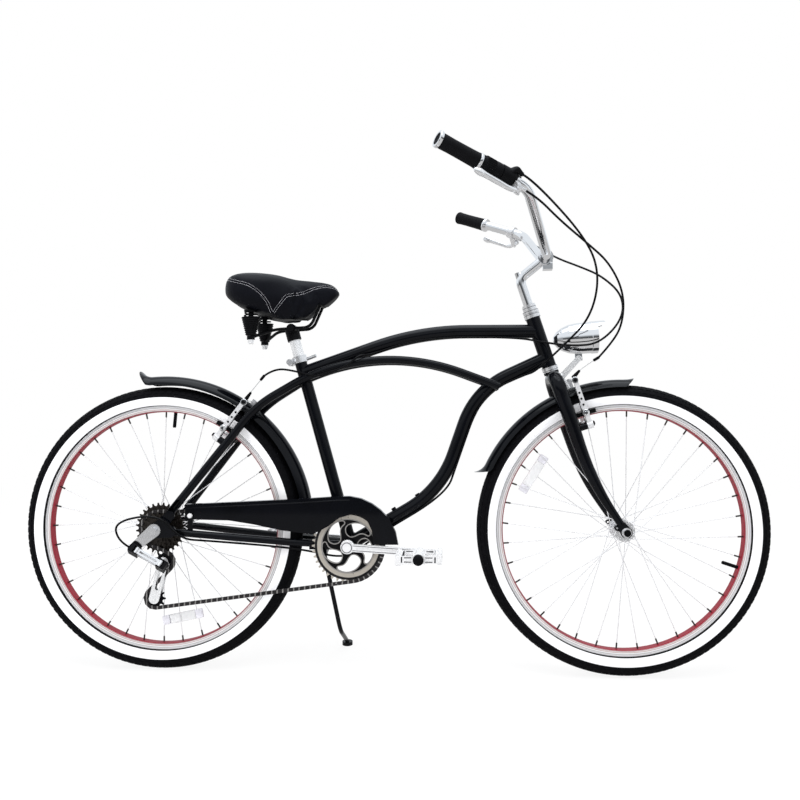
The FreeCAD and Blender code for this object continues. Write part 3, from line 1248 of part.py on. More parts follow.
blade = only(blade.cut(rod(lever_pivot - lever_axis * 12, lever_pivot + lever_axis * 12,
    2.5 + v.running_gap)).removeSplitter())
blade = max(blade.Solids, key=lambda s: s.Volume)
keep_bar("brake_lever_left", blade)
keep_bar("brake_lever_right", mirror(blade))

# Brake arms.


def brake_arm(pivot, up, out, axle):
    """The left arm of a linear-pull brake: eye on the stud, arm, and pad facing the rim."""
    centre = pivot + Y * v.brake_pivot_side
    low, high = -7.5, 5.5

    def at(side, rise, depth):
        return pivot + Y * side + up * rise + out * depth
    eye = rod(centre + out * low, centre + out * high, 9.0)
    line = [(v.brake_pivot_side - 5, 0), (v.brake_pivot_side + 7, 0),
        (v.brake_pivot_side + 10, v.pad_reach), (v.brake_pivot_side + 9, v.brake_arm_length),
            (v.brake_pivot_side + 2, v.brake_arm_length), (v.brake_pivot_side - 1, v.pad_reach)]
    corners = [at(a, b, low + 1.5) for a, b in line]
    bar = Part.Face(Part.makePolygon(corners + corners[:1])).extrude(out * (high - low - 3.0))
    arm = eye.fuse(bar)
    arm = arm.cut(rod(centre - out * 40, centre + out * 40, v.brake_boss + v.running_gap))
    arm = only(arm.removeSplitter())
    face_y = v.rim_half_width + v.pad_gap
    post = rod(at(face_y + 7, v.pad_reach, -1), at(v.brake_pivot_side + 16, v.pad_reach, -1), 3.2)
    spot = pivot + up * v.pad_reach - out
    tall = (spot - axle).normalize()
    tangent_way = Vector(tall.z, 0, -tall.x)
    middle = axle + tall * (0.5 * (v.rim_inside + 2.5 + v.rim_edge) - 0.8)
    shoe_line = [(face_y, -4.0), (face_y + 9, -4.5), (face_y + 9, 4.5), (face_y, 4.0)]
    corners = [middle + Y * a + tall * b - tangent_way * 26 for a, b in shoe_line]
    shoe = Part.Face(Part.makePolygon(corners + corners[:1])).extrude(tangent_way * 52)
    nut = rod(at(v.brake_pivot_side + 10.2, v.pad_reach, -1), at(v.brake_pivot_side + 15, v.pad_reach, -1),
        5.5)
    shoe = only(shoe.fuse([post, nut]).removeSplitter())
    arm = only(arm.cut(shoe))
    return [arm, shoe]


front_left = brake_arm(fork_pivot, head_up, head_fore, front_axle_at)
keep("front_brake_arm_left", group(front_left))
keep("front_brake_arm_right", group([mirror(s) for s in front_left]))
rear_left = brake_arm(rear_pivot, stay_run, stay_back, rear_axle_at)
keep("rear_brake_arm_left", group(rear_left))
keep("rear_brake_arm_right", group([mirror(s) for s in rear_left]))

# Head lamp.
lamp_at = Vector(v.lamp_ahead, 0, v.lamp_height)
back_x = -0.5 * v.lamp_length
front_x = 0.5 * v.lamp_length
shell_line = [(0.0, back_x), (9.0, back_x + 2), (18.0, back_x + 9), (26.0, back_x + 20),
    (32.5, back_x + 36), (35.5, back_x + 55), (v.lamp_radius - 1, front_x - 14),
              (v.lamp_radius, front_x - 13), (v.lamp_radius, front_x)]
inside = [(r - v.lamp_wall, x + v.lamp_wall) for r, x in shell_line[1:-2]]
ring_points = [Vector(x, 0, r) for r, x in shell_line] + [Vector(front_x, 0, v.lamp_radius - 2.2),
    Vector(front_x - 12, 0, v.lamp_radius - 2.2)]
ring_points += [Vector(x, 0, r) for r, x in reversed(inside)] + [Vector(back_x + 3.6, 0, 0.0)]
shell_face = Part.Face(Part.makePolygon(ring_points + ring_points[:1]))
lamp_shell = shell_face.revolve(Vector(0, 0, 0), X, 360)
visor_ring = Part.makeCylinder(v.lamp_radius, 20, Vector(front_x - 1, 0, 0),
    X).cut(Part.makeCylinder(v.lamp_radius - 1.5, 24, Vector(front_x - 2, 0, 0), X))
visor_cut = plate([(front_x - 5, -60), (front_x + 40, -60), (front_x + 40, 27), (front_x + 19, 27),
    (front_x - 5, 22)], -60, 60)
visor = visor_ring.cut(visor_cut)
lug = Part.makeBox(16, 6, 17, Vector(-2, -3,
    -v.lamp_radius - 14)).cut(Part.makeCylinder(v.lamp_radius - 2.5, 200, Vector(-100, 0, 0), X))
lug = lug.cut(rod(Vector(6, -10, -v.lamp_radius - 9), Vector(6, 10, -v.lamp_radius - 9),
    2.5 + v.running_gap))
lamp_shell = lamp_shell.fuse([visor, lug])
lamp_shell = max(lamp_shell.removeSplitter().Solids, key=lambda s: s.Volume)
lamp_tip = Placement(lamp_at, Rotation(Y, -4))
keep("lamp_shell", moved(lamp_shell, lamp_tip))
dome = Part.makeSphere(90, Vector(front_x - 90 + 2, 0, 0)).common(Part.makeCylinder(v.lamp_radius - 2.25,
    30, Vector(front_x - 11.9, 0, 0), X))
dome = dome.cut(Part.makeSphere(86, Vector(front_x - 90 + 2, 0, 0)))
keep("lamp_lens", moved(max(dome.Solids, key=lambda s: s.Volume), lamp_tip))

lug_at = lamp_tip.multVec(Vector(6, 0, -v.lamp_radius - 9))
crown_front = crown_at + head_fore * (v.fork_top_radius - 1) + head_up * -2
strap = []
for y in (3.3, -5.8):
    strap.append(rod(lug_at + Y * y, lug_at + Y * (y + 2.5), 7.0))
    down = (crown_front - lug_at).normalize()
    wide = Y.cross(down).normalize()
    corners = [lug_at + wide * 6, lug_at - wide * 6, crown_front - wide * 7 + head_fore * 4,
        crown_front + wide * 7 + head_fore * 4]
    corners = [c + Y * y for c in corners]
    strap.append(Part.Face(Part.makePolygon(corners + corners[:1])).extrude(Y * 2.5))
strap.append(rod(lug_at - Y * 8, lug_at + Y * 8, 2.5))
strap.append(rod(crown_front, crown_front + head_fore * 7, 9.0))
strap_all = strap[0].fuse(strap[1:])
hook_end = Vector(948.5, 0, 0)
hook_end.z = v.wheel_radius + math.sqrt((v.front_guard_radius + 0.6) ** 2 - (v.wheelbase - hook_end.x) ** 2)
hook = rod(crown_front + head_fore * 4, hook_end, 4.0)
fork_shape = max(fork.Solids, key=lambda s: s.Volume)
lamp_bracket = strap_all.fuse(hook).cut([fork_shape, front_guard])
keep("lamp_bracket", max(lamp_bracket.removeSplitter().Solids, key=lambda s: s.Volume))

# Seat post, clamp and saddle.
post_top = on_seat(v.post_top)
post_low = seat_top - seat_up * v.post_sunk
post = rod(post_low, post_top, v.post_radius, v.post_radius - 2.0)
keep("seatpost", only(post))
collar = rod(seat_top - seat_up * 2, seat_top + seat_up * (v.collar_height - 2), v.collar_radius)
collar = collar.cut(rod(seat_top - seat_up * 10, seat_top,
    v.seat_tube_radius)).cut(rod(seat_top - seat_up * 10, seat_top + seat_up * 40,
    v.post_radius + v.running_gap))
back_way = Vector(-seat_up.z, 0, seat_up.x)
ear_mid = seat_top + seat_up * 5 + back_way * 21
ears = Part.makeBox(15, 16, 13, Vector(-7.5, -8, -6.5))
ears.Placement = Placement(ear_mid, Rotation(Y, -v.seat_tilt))
ears = ears.cut(Part.makeBox(100, 2.2, 100, Vector(ear_mid.x - 50, -1.1, ear_mid.z - 50)))
bolt_line = rod(ear_mid - Y * 20 + back_way * 1.5, ear_mid + Y * 17 + back_way * 1.5, 3.2)
nut_end = rod(ear_mid - Y * 21 + back_way * 1.5, ear_mid - Y * 8 + back_way * 1.5, 7.0)
cam = rod(ear_mid + Y * 8 + back_way * 1.5, ear_mid + Y * 19 + back_way * 1.5, 7.5)
handle = bent([ear_mid + Y * 15 + back_way * 1.5, ear_mid + Y * 24 - back_way * 24,
    ear_mid + Y * 18 - back_way * 58 + seat_up * 2], [26.0], 4.0)
collar = collar.fuse([ears, bolt_line, nut_end, cam, handle])
collar = collar.cut([rod(seat_top - seat_up * 10, seat_top + seat_up * 40, v.post_radius + v.running_gap),
    rod(seat_top - seat_up * 30, seat_top, v.seat_tube_radius)])
keep("seat_clamp", max(collar.removeSplitter().Solids, key=lambda s: s.Volume))


def saddle_section(x, half, top, low, crown):
    """One closed outline across the saddle: crowned top, drawn-in sides, flat under."""
    side = [(0.0, top), (0.38 * half, top - crown * 0.10), (0.72 * half, top - crown * 0.42),
        (0.93 * half, top - crown * 0.95),
            (half, top - crown * 1.0 - 0.30 * (top - crown - low)), (0.965 * half,
                low + 0.18 * (top - crown - low)), (0.84 * half, low), (0.42 * half, low)]
    points = [Vector(x, a, b) for a, b in side] + [Vector(x, 0, low)] + [Vector(x, -a, b) for a,
        b in reversed(side[1:])]
    curve = Part.BSplineCurve()
    curve.interpolate(points, True)
    return Part.Wire(curve.toShape())


h = v.saddle_height
w = v.saddle_half_width
rear_x, nose_x = v.saddle_rear, v.saddle_nose
length = nose_x - rear_x
# Share of the length, share of the half width, top, lower edge and crown of each section.
table = [
    (0.0, 0.46, h - 30, h - 59, 12),
    (0.03, 0.67, h - 15, h - 66, 17),
    (0.08, 0.85, h - 5, h - 74, 20),
    (0.14, 0.95, h - 1, h - 82, 23),
    (0.24, 1.0, h, h - 91, 25),
    (0.34, 0.94, h - 2, h - 99, 27),
    (0.44, 0.78, h - 6.5, h - 106, 25.5),
    (0.54, 0.58, h - 13.5, h - 114.5, 22.5),
    (0.64, 0.42, h - 18.5, h - 121, 19.5),
    (0.76, 0.32, h - 20, h - 104, 17),
    (0.86, 0.275, h - 21, h - 84, 15.5),
    (0.93, 0.235, h - 25.5, h - 70, 13.5),
    (0.975, 0.175, h - 35, h - 59, 10),
    (1.0, 0.09, h - 45, h - 52, 5),
]
sections = [saddle_section(rear_x + f * length, k * w, top, low, crown) for f, k, top, low, crown in table]
cushion = only(Part.makeLoft(sections, True, False))

rail_z = v.post_top + 6
s_low, s_high = v.spring_low, v.spring_high
hinge_at = Vector(v.saddle_hinge_ahead, 0, h - v.saddle_hinge_drop)
rail_side = 18.0
rail_line = [
    Vector(v.spring_ahead - 2, v.spring_side, s_low - 7),
    Vector(v.spring_ahead + 44, 22, rail_z - 3),
    Vector(350, 20, rail_z + 2),
    hinge_at + Y * rail_side,
]
rail_radii = [40.0, 26.0]
rail = bent(rail_line, rail_radii, v.rail_wire)
rail_room = bent(rail_line, rail_radii, v.rail_wire + v.rail_clearance)
rail_eye = rod(Vector(v.spring_ahead, v.spring_side, s_low - 11),
    Vector(v.spring_ahead, v.spring_side, s_low - 3.2), 9.0)
tip_nut = rod(Vector(v.spring_ahead, v.spring_side, s_low - 18),
    Vector(v.spring_ahead, v.spring_side, s_low - 11), 5.5)
rail = rail.fuse([rail_eye, tip_nut])
bar_half = rail_side + v.rail_wire + v.hinge_bar_past_rail
cross_bar = rod(hinge_at - Y * bar_half, hinge_at + Y * bar_half, v.hinge_bar)
loop = only(rail.fuse([mirror(rail), cross_bar]).removeSplitter())

# The cushion turns on the cross bar of its rails, and a trough under it clears the post's jaw.
bar_end = bar_half + v.side_gap
bar_room = rod(hinge_at - Y * bar_end, hinge_at + Y * bar_end, v.hinge_bar + v.running_gap)
rail_mouth = plate([(hinge_at.x - 30, hinge_at.z - 60), (hinge_at.x + 4, hinge_at.z - 60),
    (hinge_at.x + 3, hinge_at.z),
                    (hinge_at.x - 3, hinge_at.z)], -bar_end, bar_end)
trough = Part.makeBox(60, 76, 60, Vector(post_top.x - 26, -38, v.post_top - 30))
cushion = cushion.cut([bar_room, rail_room, mirror(rail_room), rail_mouth, trough])
cushion = max(cushion.Solids, key=lambda s: s.Volume)
keep("saddle_cover", cushion)

jaw_at = Vector(post_top.x + 2, 0, rail_z - 1)
jaw = rod(jaw_at - Y * 27, jaw_at + Y * 27, 11.0)
jaw = jaw.fuse(rod(post_top - seat_up * 22, post_top + seat_up * 8, 16.5))
jaw = jaw.fuse([rod(jaw_at + Y * (s * 27), jaw_at + Y * (s * 34), 8.0) for s in (1, -1)])
jaw = jaw.cut([post.fuse(rod(post_low, post_top, v.post_radius - 1)), loop])
jaw = max(jaw.removeSplitter().Solids, key=lambda s: s.Volume)
keep("saddle_frame", group([loop, jaw]))


def biarc(p0, t0, p1, t1):
    """Two arcs that leave p0 along t0 and reach p1 along t1."""
    run = p1 - p0
    both = t0 + t1
    den = 2 * (1 - t0.dot(t1))
    if den < 1e-9:
        return [Part.LineSegment(p0, p1).toShape()]
    d = (-run.dot(both) + math.sqrt(run.dot(both) ** 2 + den * run.dot(run))) / den
    mid = (p0 + p1 + (t0 - t1) * d) * 0.5

    def arc(a, way, b):
        chord = b - a
        normal = chord - way * chord.dot(way)
        if normal.Length < 1e-7:
            return Part.LineSegment(a, b).toShape()
        normal.normalize()
        radius = chord.dot(chord) / (2 * chord.dot(normal))
        centre = a + normal * radius
        half = ((a + b) * 0.5 - centre).normalize()
        return Part.Arc(a, centre + half * radius, b).toShape()
    return [arc(p0, t0, mid), arc(p1, t1 * -1, mid)]


def coil(foot, height, low_radius, high_radius, turns, wire):
    """A conical spring as one unbroken wire."""
    count = int(turns * 8)

    def at(u):
        a = 2 * math.pi * turns * u
        r = low_radius + (high_radius - low_radius) * u
        return foot + Vector(r * math.cos(a), r * math.sin(a), height * u)

    def way(u):
        return (at(u + 1e-5) - at(u - 1e-5)).normalize()
    edges = []
    for i in range(count):
        a, b = i / count, (i + 1) / count
        edges += biarc(at(a), way(a), at(b), way(b))
    spine = Part.Wire(Part.__sortEdges__(edges))
    ring = Part.Wire(Part.Circle(at(0), way(0), wire).toShape())
    tube = spine.makePipeShell([ring], True, True)
    print("spring volume ratio %.4f" % (tube.Volume / (math.pi * wire ** 2 * spine.Length)))
    print("spring least gap %.2f" % (height / turns - 2 * wire))
    return only(tube)


spring = coil(Vector(v.spring_ahead, v.spring_side, s_low), s_high - s_low, v.spring_narrow, v.spring_wide,
    v.spring_turns, v.spring_wire)
spring_hat = rod(Vector(v.spring_ahead, v.spring_side, s_high - 8),
    Vector(v.spring_ahead, v.spring_side, h - 70), 9.0)
spring_hat = spring_hat.fuse(rod(Vector(v.spring_ahead, v.spring_side, s_high + v.spring_wire + 0.1),
    Vector(v.spring_ahead, v.spring_side, s_high + 6), 23.0))
spring_hat = only(spring_hat.cut(cushion).removeSplitter())
spring_hat = max(spring_hat.Solids, key=lambda s: s.Volume)
keep("saddle_springs", group(pair(spring) + pair(spring_hat)))

# Cables.


def cable(points, radii):
    """A cable swept along straight runs and tangent arcs as one solid."""
    edges = route(points, radii)
    spine = Part.Wire(edges)
    ring = Part.Wire(Part.Circle(points[0], points[1] - points[0], v.cable_radius).toShape())
    tube = only(spine.makePipeShell([ring], True, False))
    plain = math.pi * v.cable_radius ** 2 * spine.Length
    print("cable volume ratio %.4f length %.0f" % (tube.Volume / plain, spine.Length))
    return tube


def bar_spot(p):
    return BAR.multVec(p)


exit_shift = bar_spot(flip(spout_from + spout_side + spout_way * 30.2))
exit_shift_way = bar_spot(flip(spout_from + spout_side + spout_way * 60.2)) - exit_shift
exit_right = bar_spot(flip(mid + side * 16 + grip_way * 24.2))
exit_right_way = bar_spot(flip(mid + side * 16 + grip_way * 54.2)) - exit_right
exit_left = bar_spot(mid + side * 16 + grip_way * 24.2)
exit_left_way = bar_spot(mid + side * 16 + grip_way * 54.2) - exit_left


def soft(points, want):
    """Corner radii for a route: as asked, or smaller where the runs are short."""
    radii = []
    for i in range(1, len(points) - 1):
        back, on = points[i - 1] - points[i], points[i + 1] - points[i]
        half = (math.pi - back.getAngle(on)) / 2
        room = 0.46 * min(back.Length, on.Length)
        radii.append(min(want, room / max(math.tan(half), 1e-6)))
    return radii


def beside(points, offset, side):
    """The corners of a route moved to the left of its travel, in its upright plane, and out to a side."""
    normals = []
    for a, b in zip(points, points[1:]):
        run = Vector(b.x - a.x, 0, b.z - a.z).normalize()
        normals.append(Vector(-run.z, 0, run.x))
    moved_points = []
    for i, point in enumerate(points):
        first = normals[max(i - 1, 0)]
        last = normals[min(i, len(normals) - 1)]
        shift = (first + last) * (offset / (1 + first.dot(last)))
        moved_points.append(Vector(point.x, side, point.z) + shift)
    return moved_points


tube_reach = v.main_tube_radius + v.cable_radius + 0.2
drop_side = 12.0
under = math.sqrt(tube_reach ** 2 - drop_side ** 2)
down_line = beside(down_points, under, -drop_side)
top_line = beside(top_points, under, -drop_side)
down_run = (down_line[1] - down_line[0]).normalize()
foot_line = (down_line[3] - down_line[2]).normalize()
leave_top = down_line[0] + down_run * 62
leave_foot = down_line[3] - foot_line * 52
front_arm_top = fork_pivot + head_up * v.brake_arm_length - head_fore - Y * (v.brake_pivot_side + 5.5)
rear_arm_top = rear_pivot + stay_run * v.brake_arm_length - stay_back - Y * (v.brake_pivot_side + 5.5)

shift_a = [exit_shift, exit_shift + exit_shift_way.normalize() * 30, Vector(971, -140, 966),
    Vector(1002, -106, 893),
           Vector(985, -84, 806), Vector(930, -58, 748), Vector(868, -24, 690), leave_top]
shift_b = [leave_foot, Vector(437, -14, 258), Vector(330, -40, 287.5), Vector(120, -56, 305.5),
    Vector(62, -79, 312),
           Vector(16, -87, 370), Vector(-88, -83, 352), in_links(-52, 0, 0), in_links(-20.2, 0, 0)]
shift_points = shift_a + down_line[1:3] + shift_b
shift_radii = soft(shift_points, 70.0)
shift_radii[len(shift_a) - 1] = v.down_knee_radius - under
shift_radii[len(shift_a)] = v.down_foot_radius + under
shift_cable = cable(shift_points, shift_radii)

top_leave = top_line[0] + (top_line[1] - top_line[0]).normalize() * 50
top_run = (top_line[2] - top_line[1]).normalize()
top_end = top_line[1] + top_run * 123
rear_a = [exit_left, exit_left + exit_left_way.normalize() * 30, Vector(925, 62, 970), Vector(981, 20, 938),
    Vector(1024, -10, 911),
          Vector(1064, -42, 862), Vector(1062, -48, 806), Vector(1010, -50, 752), Vector(953, -48,
              747), Vector(892, -28, 757), top_leave]
rear_b = [top_end, Vector(466, -37, 731), Vector(440, -41, 706), Vector(372, -40, 679),
    Vector(318, -40, 695), Vector(268, -46, 701),
          Vector(238, -46.5, 674.5), rear_arm_top + stay_run * 0.6]
rear_points = rear_a + [top_line[1]] + rear_b
rear_radii = soft(rear_points, 70.0)
rear_radii[len(rear_a) - 1] = v.top_bend_radius - under
rear_radii[len(rear_a)] = 20.0
rear_cable = cable(rear_points, rear_radii)
wire_rise = v.brake_arm_length - 4
wire_half = v.brake_pivot_side + 1.7
rear_wire_at = rear_pivot + stay_run * wire_rise - stay_back
rear_wire = rod(rear_wire_at - Y * wire_half, rear_wire_at + Y * wire_half, 0.9)
keep("frame_cables", group([shift_cable, rear_cable, rear_wire]))
front_points = [exit_right, exit_right + exit_right_way.normalize() * 30, Vector(908, -170, 1003),
    Vector(974, -120, 963), Vector(1025, -93, 926),
                Vector(1062, -68, 862), Vector(1058, -64, 790), Vector(1012, -58,
                    724), front_arm_top + head_up * 20 + head_fore * 8,
                front_arm_top + head_up * 1.5]
front_cable = cable(front_points, soft(front_points, 70.0))
front_wire_at = fork_pivot + head_up * wire_rise - head_fore
front_wire = rod(front_wire_at - Y * wire_half, front_wire_at + Y * wire_half, 0.9)
keep("front_brake_cable", group([front_cable, front_wire]))
for name, line in (("shift", shift_points), ("rear brake", rear_points), ("front brake", front_points)):
    print(name, "cable corners", [tuple(round(c, 1) for c in p) for p in line])

doc.recompute()
for piece in pieces:
    if "Invalid" in piece.State or "Error" in piece.State:
        raise RuntimeError(piece.Label + " did not build")
    if piece.Shape.isNull() or not piece.Shape.isValid():
        print("INVALID", piece.Label)
    piece.Shape.exportStep("parts/%s.step" % piece.Label)
print("pieces", len(pieces))
low = min(p.Shape.BoundBox.YMin for p in pieces)
high = max(p.Shape.BoundBox.YMax for p in pieces)
print("sides %.2f %.2f" % (low, high))
print("ends %.2f %.2f" % (min(p.Shape.BoundBox.XMin for p in pieces),
    max(p.Shape.BoundBox.XMax for p in pieces)))
print("heights %.2f %.2f" % (min(p.Shape.BoundBox.ZMin for p in pieces),
    max(p.Shape.BoundBox.ZMax for p in pieces)))
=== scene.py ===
import math

import bmesh
import bpy
from mathutils import Matrix, Vector
from mathutils.bvhtree import BVHTree
from mathutils.kdtree import KDTree


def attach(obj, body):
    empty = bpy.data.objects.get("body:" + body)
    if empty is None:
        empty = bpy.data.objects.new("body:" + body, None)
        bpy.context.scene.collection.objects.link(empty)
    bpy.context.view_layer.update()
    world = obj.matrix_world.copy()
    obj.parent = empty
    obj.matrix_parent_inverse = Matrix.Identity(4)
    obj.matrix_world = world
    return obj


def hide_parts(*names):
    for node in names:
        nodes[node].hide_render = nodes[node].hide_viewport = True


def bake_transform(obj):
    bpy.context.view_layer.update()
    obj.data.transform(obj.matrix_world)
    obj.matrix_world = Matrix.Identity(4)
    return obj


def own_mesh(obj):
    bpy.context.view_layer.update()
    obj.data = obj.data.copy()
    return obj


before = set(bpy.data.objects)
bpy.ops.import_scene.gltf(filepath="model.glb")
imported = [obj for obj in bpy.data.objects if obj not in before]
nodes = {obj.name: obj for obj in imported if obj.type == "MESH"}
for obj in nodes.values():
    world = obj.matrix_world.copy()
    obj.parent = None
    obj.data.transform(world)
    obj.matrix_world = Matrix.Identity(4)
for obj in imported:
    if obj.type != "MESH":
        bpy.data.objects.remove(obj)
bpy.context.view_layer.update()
scene = bpy.context.scene

# The bicycle is described upright in millimetres, as in the drawing, then leaned onto its stand.
LEAN = math.radians(5.0)
WHEELBASE = 1065.5
OFFSET = 103.8
TYRE = 27.0
LIFT = TYRE * (1 - math.cos(LEAN))
R_WHEEL = 330.0
TILT = Matrix.Rotation(-LEAN, 3, "X")


def stand(p):
    """An upright millimetre point, in metres in the leaning frame."""
    q = TILT @ Vector(p)
    return Vector((q.x - WHEELBASE / 2, q.y - OFFSET, q.z + LIFT)) / 1000.0


def lean(d):
    """A direction of the upright bicycle in the leaning frame."""
    return TILT @ Vector(d)


FRONT_HUB = Vector((WHEELBASE, 0, R_WHEEL))
REAR_HUB = Vector((0, 0, R_WHEEL))
BB = Vector((442.0, 0, 294.0))
CRANK = Vector((math.cos(math.radians(3.4)), 0, -math.sin(math.radians(3.4)))) * 165.0
CHAIN_PITCH = 0.0127
RING_TEETH = 40
HEAD = Vector((885.5, 0, 760.0))
HEAD_UP = Vector((-math.sin(math.radians(18.3)), 0, math.cos(math.radians(18.3))))
HANGER_BLOCK = (-46.2, -71.0, 285.3)
AXLE_WAY = lean((0, 1, 0))
UP_WAY = lean((0, 0, 1))
AHEAD = (1.0, 0.0, 0.0)

# Materials


class Nodes:
    """Short hand for building a node tree."""

    def __init__(self, tree):
        self.tree = tree

    def new(self, kind, **settings):
        node = self.tree.nodes.new(kind)
        for key, value in settings.items():
            setattr(node, key, value)
        return node

    def link(self, a, b):
        self.tree.links.new(a, b)

    def put(self, socket, value):
        if isinstance(value, bpy.types.NodeSocket):
            self.link(value, socket)
        else:
            socket.default_value = value

    def math(self, op, a, b=0.0):
        node = self.new("ShaderNodeMath", operation=op)
        self.put(node.inputs[0], a)
        self.put(node.inputs[1], b)
        return node.outputs[0]

    def span(self, value, a, b, c=0.0, d=1.0, smooth=False):
        node = self.new("ShaderNodeMapRange")
        node.interpolation_type = "SMOOTHSTEP" if smooth else "LINEAR"
        self.put(node.inputs["Value"], value)
        for key, number in (("From Min", a), ("From Max", b), ("To Min", c), ("To Max", d)):
            node.inputs[key].default_value = number
        return node.outputs["Result"]


class Finish(Nodes):
    """One material, patterned on Object coordinates."""

    def __init__(self, name):
        self.mat = bpy.data.materials.new(name)
        self.mat.use_nodes = True
        super().__init__(self.mat.node_tree)
        self.bsdf = self.tree.nodes["Principled BSDF"]
        self.coord = self.new("ShaderNodeTexCoord").outputs["Object"]

    def vec(self, op, a, b=(0.0, 0.0, 0.0)):
        node = self.new("ShaderNodeVectorMath", operation=op)
        self.put(node.inputs[0], a)
        self.put(node.inputs[1], b)
        return node.outputs["Value"] if op in ("DOT_PRODUCT", "LENGTH") else node.outputs["Vector"]

    def noise(self, scale, detail=3.0):
        node = self.new("ShaderNodeTexNoise")
        node.inputs["Scale"].default_value = scale
        node.inputs["Detail"].default_value = detail
        self.link(self.coord, node.inputs["Vector"])
        return node.outputs["Fac"]

    def cells(self, scale, **settings):
        node = self.new("ShaderNodeTexVoronoi", **settings)
        node.inputs["Scale"].default_value = scale
        self.link(self.coord, node.inputs["Vector"])
        return node.outputs["Distance"]

    def stripe(self, value, place, half, soft):
        """One within half of a place, and nothing past its soft edge."""
        off = self.math("ABSOLUTE", self.math("SUBTRACT", value, place))
        return self.span(off, half, half + soft, 1.0, 0.0)

    def mix(self, factor, a, b):
        node = self.new("ShaderNodeMix", data_type="RGBA")
        self.put(node.inputs[0], factor)
        for i, value in ((6, a), (7, b)):
            if isinstance(value, tuple):
                node.inputs[i].default_value = (*value[:3], 1.0)
            else:
                self.link(value, node.inputs[i])
        return node.outputs[2]

    def bump(self, height, strength, distance):
        node = self.new("ShaderNodeBump")
        node.inputs["Strength"].default_value = strength
        node.inputs["Distance"].default_value = distance
        self.link(height, node.inputs["Height"])
        self.link(node.outputs["Normal"], self.bsdf.inputs["Normal"])

    def set(self, **values):
        names = {"color": "Base Color", "rough": "Roughness", "metal": "Metallic", "coat": "Coat Weight",
                 "coat_rough": "Coat Roughness", "spec": "Specular IOR Level", "clear": "Transmission Weight",
                 "ior": "IOR"}
        for key, value in values.items():
            if key == "color" and isinstance(value, tuple):
                value = (*value[:3], 1.0)
            self.put(self.bsdf.inputs[names[key]], value)

    def away(self, centre):
        """The way from a place of the bicycle."""
        return self.vec("SUBTRACT", self.coord, tuple(centre))

    def along(self, centre, way):
        """How far along a direction from a place."""
        return self.vec("DOT_PRODUCT", self.away(centre), tuple(way))

    def from_axle(self, centre):
        """Distance from an axle line in metres."""
        reach = self.along(centre, AXLE_WAY)
        size = self.vec("LENGTH", self.away(centre))
        square = self.math("SUBTRACT", self.math("MULTIPLY", size, size), self.math("MULTIPLY", reach, reach))
        return self.math("SQRT", self.math("MAXIMUM", square, 0.0))


def tint(colour, share):
    return tuple(min(1.0, c * share) for c in colour)


def plain(name, colour, rough, metal=0.0, coat=0.0, grain=40.0, vary=0.12, bump=0.0, fine=900.0, **more):
    """A finish with slight cloudiness in its colour and sheen, and a fine surface grain."""
    g = Finish(name)
    cloud = g.span(g.noise(grain, 4.0), 0.3, 0.7)
    sheen = g.span(g.noise(grain * 2.3), 0.3, 0.7, rough * 0.85, rough * 1.15)
    shade = g.mix(cloud, tint(colour, 1 - vary), tint(colour, 1 + vary))
    g.set(color=shade, rough=sheen, metal=metal, coat=coat, **more)
    if bump:
        g.bump(g.noise(fine, 2.0), bump, 0.0004)
    return g.mat


SILVER = ((0.82, 0.82, 0.83), (0.9, 0.9, 0.91))
BRIGHT = ((0.9, 0.9, 0.91), (0.95, 0.95, 0.955))
paint = plain("gloss_black_paint", (0.0021, 0.0024, 0.0036), 0.14, coat=0.22, coat_rough=0.04, grain=14.0,
              vary=0.25, bump=0.012, fine=60.0, spec=0.07)
black_metal = plain("satin_black_metal", (0.0035, 0.0035, 0.0042), 0.36, coat=0.05, bump=0.05, spec=0.08)
black_plastic = plain("black_plastic", (0.0035, 0.0035, 0.0044), 0.46, bump=0.12, fine=1400.0, spec=0.08)
steel = plain("bright_steel", (0.8, 0.8, 0.81), 0.22, metal=0.9, vary=0.05)
alloy = plain("satin_alloy", (0.88, 0.88, 0.89), 0.24, metal=0.85, vary=0.04)
pale_metal = plain("pale_metal", (0.89, 0.895, 0.9), 0.26, metal=0.45, vary=0.02)
chrome = plain("chrome", (0.94, 0.94, 0.95), 0.08, metal=1.0, vary=0.02)
cog_steel = plain("dark_cog_steel", (0.03, 0.025, 0.021), 0.42, metal=0.6, vary=0.35, grain=90.0)
cable_black = plain("cable_sheath", (0.0028, 0.0028, 0.0034), 0.34, grain=90.0, spec=0.1)
pad_black = plain("pad_rubber", (0.004, 0.004, 0.0045), 0.6, bump=0.1, spec=0.06)


def tyre_material(name, centre):
    """Black rubber, with a white band on each side wall."""
    g = Finish(name)
    radius = g.from_axle(centre)
    lower = g.span(radius, 0.2862, 0.2869, smooth=True)
    upper = g.span(radius, 0.3052, 0.3059, 1.0, 0.0, smooth=True)
    outside = g.span(g.math("ABSOLUTE", g.along(centre, AXLE_WAY)), 0.012, 0.0135)
    band = g.math("MULTIPLY", g.math("MULTIPLY", lower, upper), outside)
    ring = g.math("SINE", g.math("MULTIPLY", radius, 5200.0))
    cloud = g.noise(55.0, 4.0)
    black = g.mix(cloud, (0.0022, 0.0022, 0.003), (0.0048, 0.0048, 0.0058))
    white = g.mix(cloud, (0.80, 0.80, 0.81), (0.9, 0.9, 0.91))
    g.set(color=g.mix(band, black, white), rough=g.span(band, 0.0, 1.0, 0.6, 0.5), spec=0.06)
    g.bump(g.math("ADD", g.math("MULTIPLY", ring, 0.25), g.noise(700.0)), 0.12, 0.0006)
    return g.mat


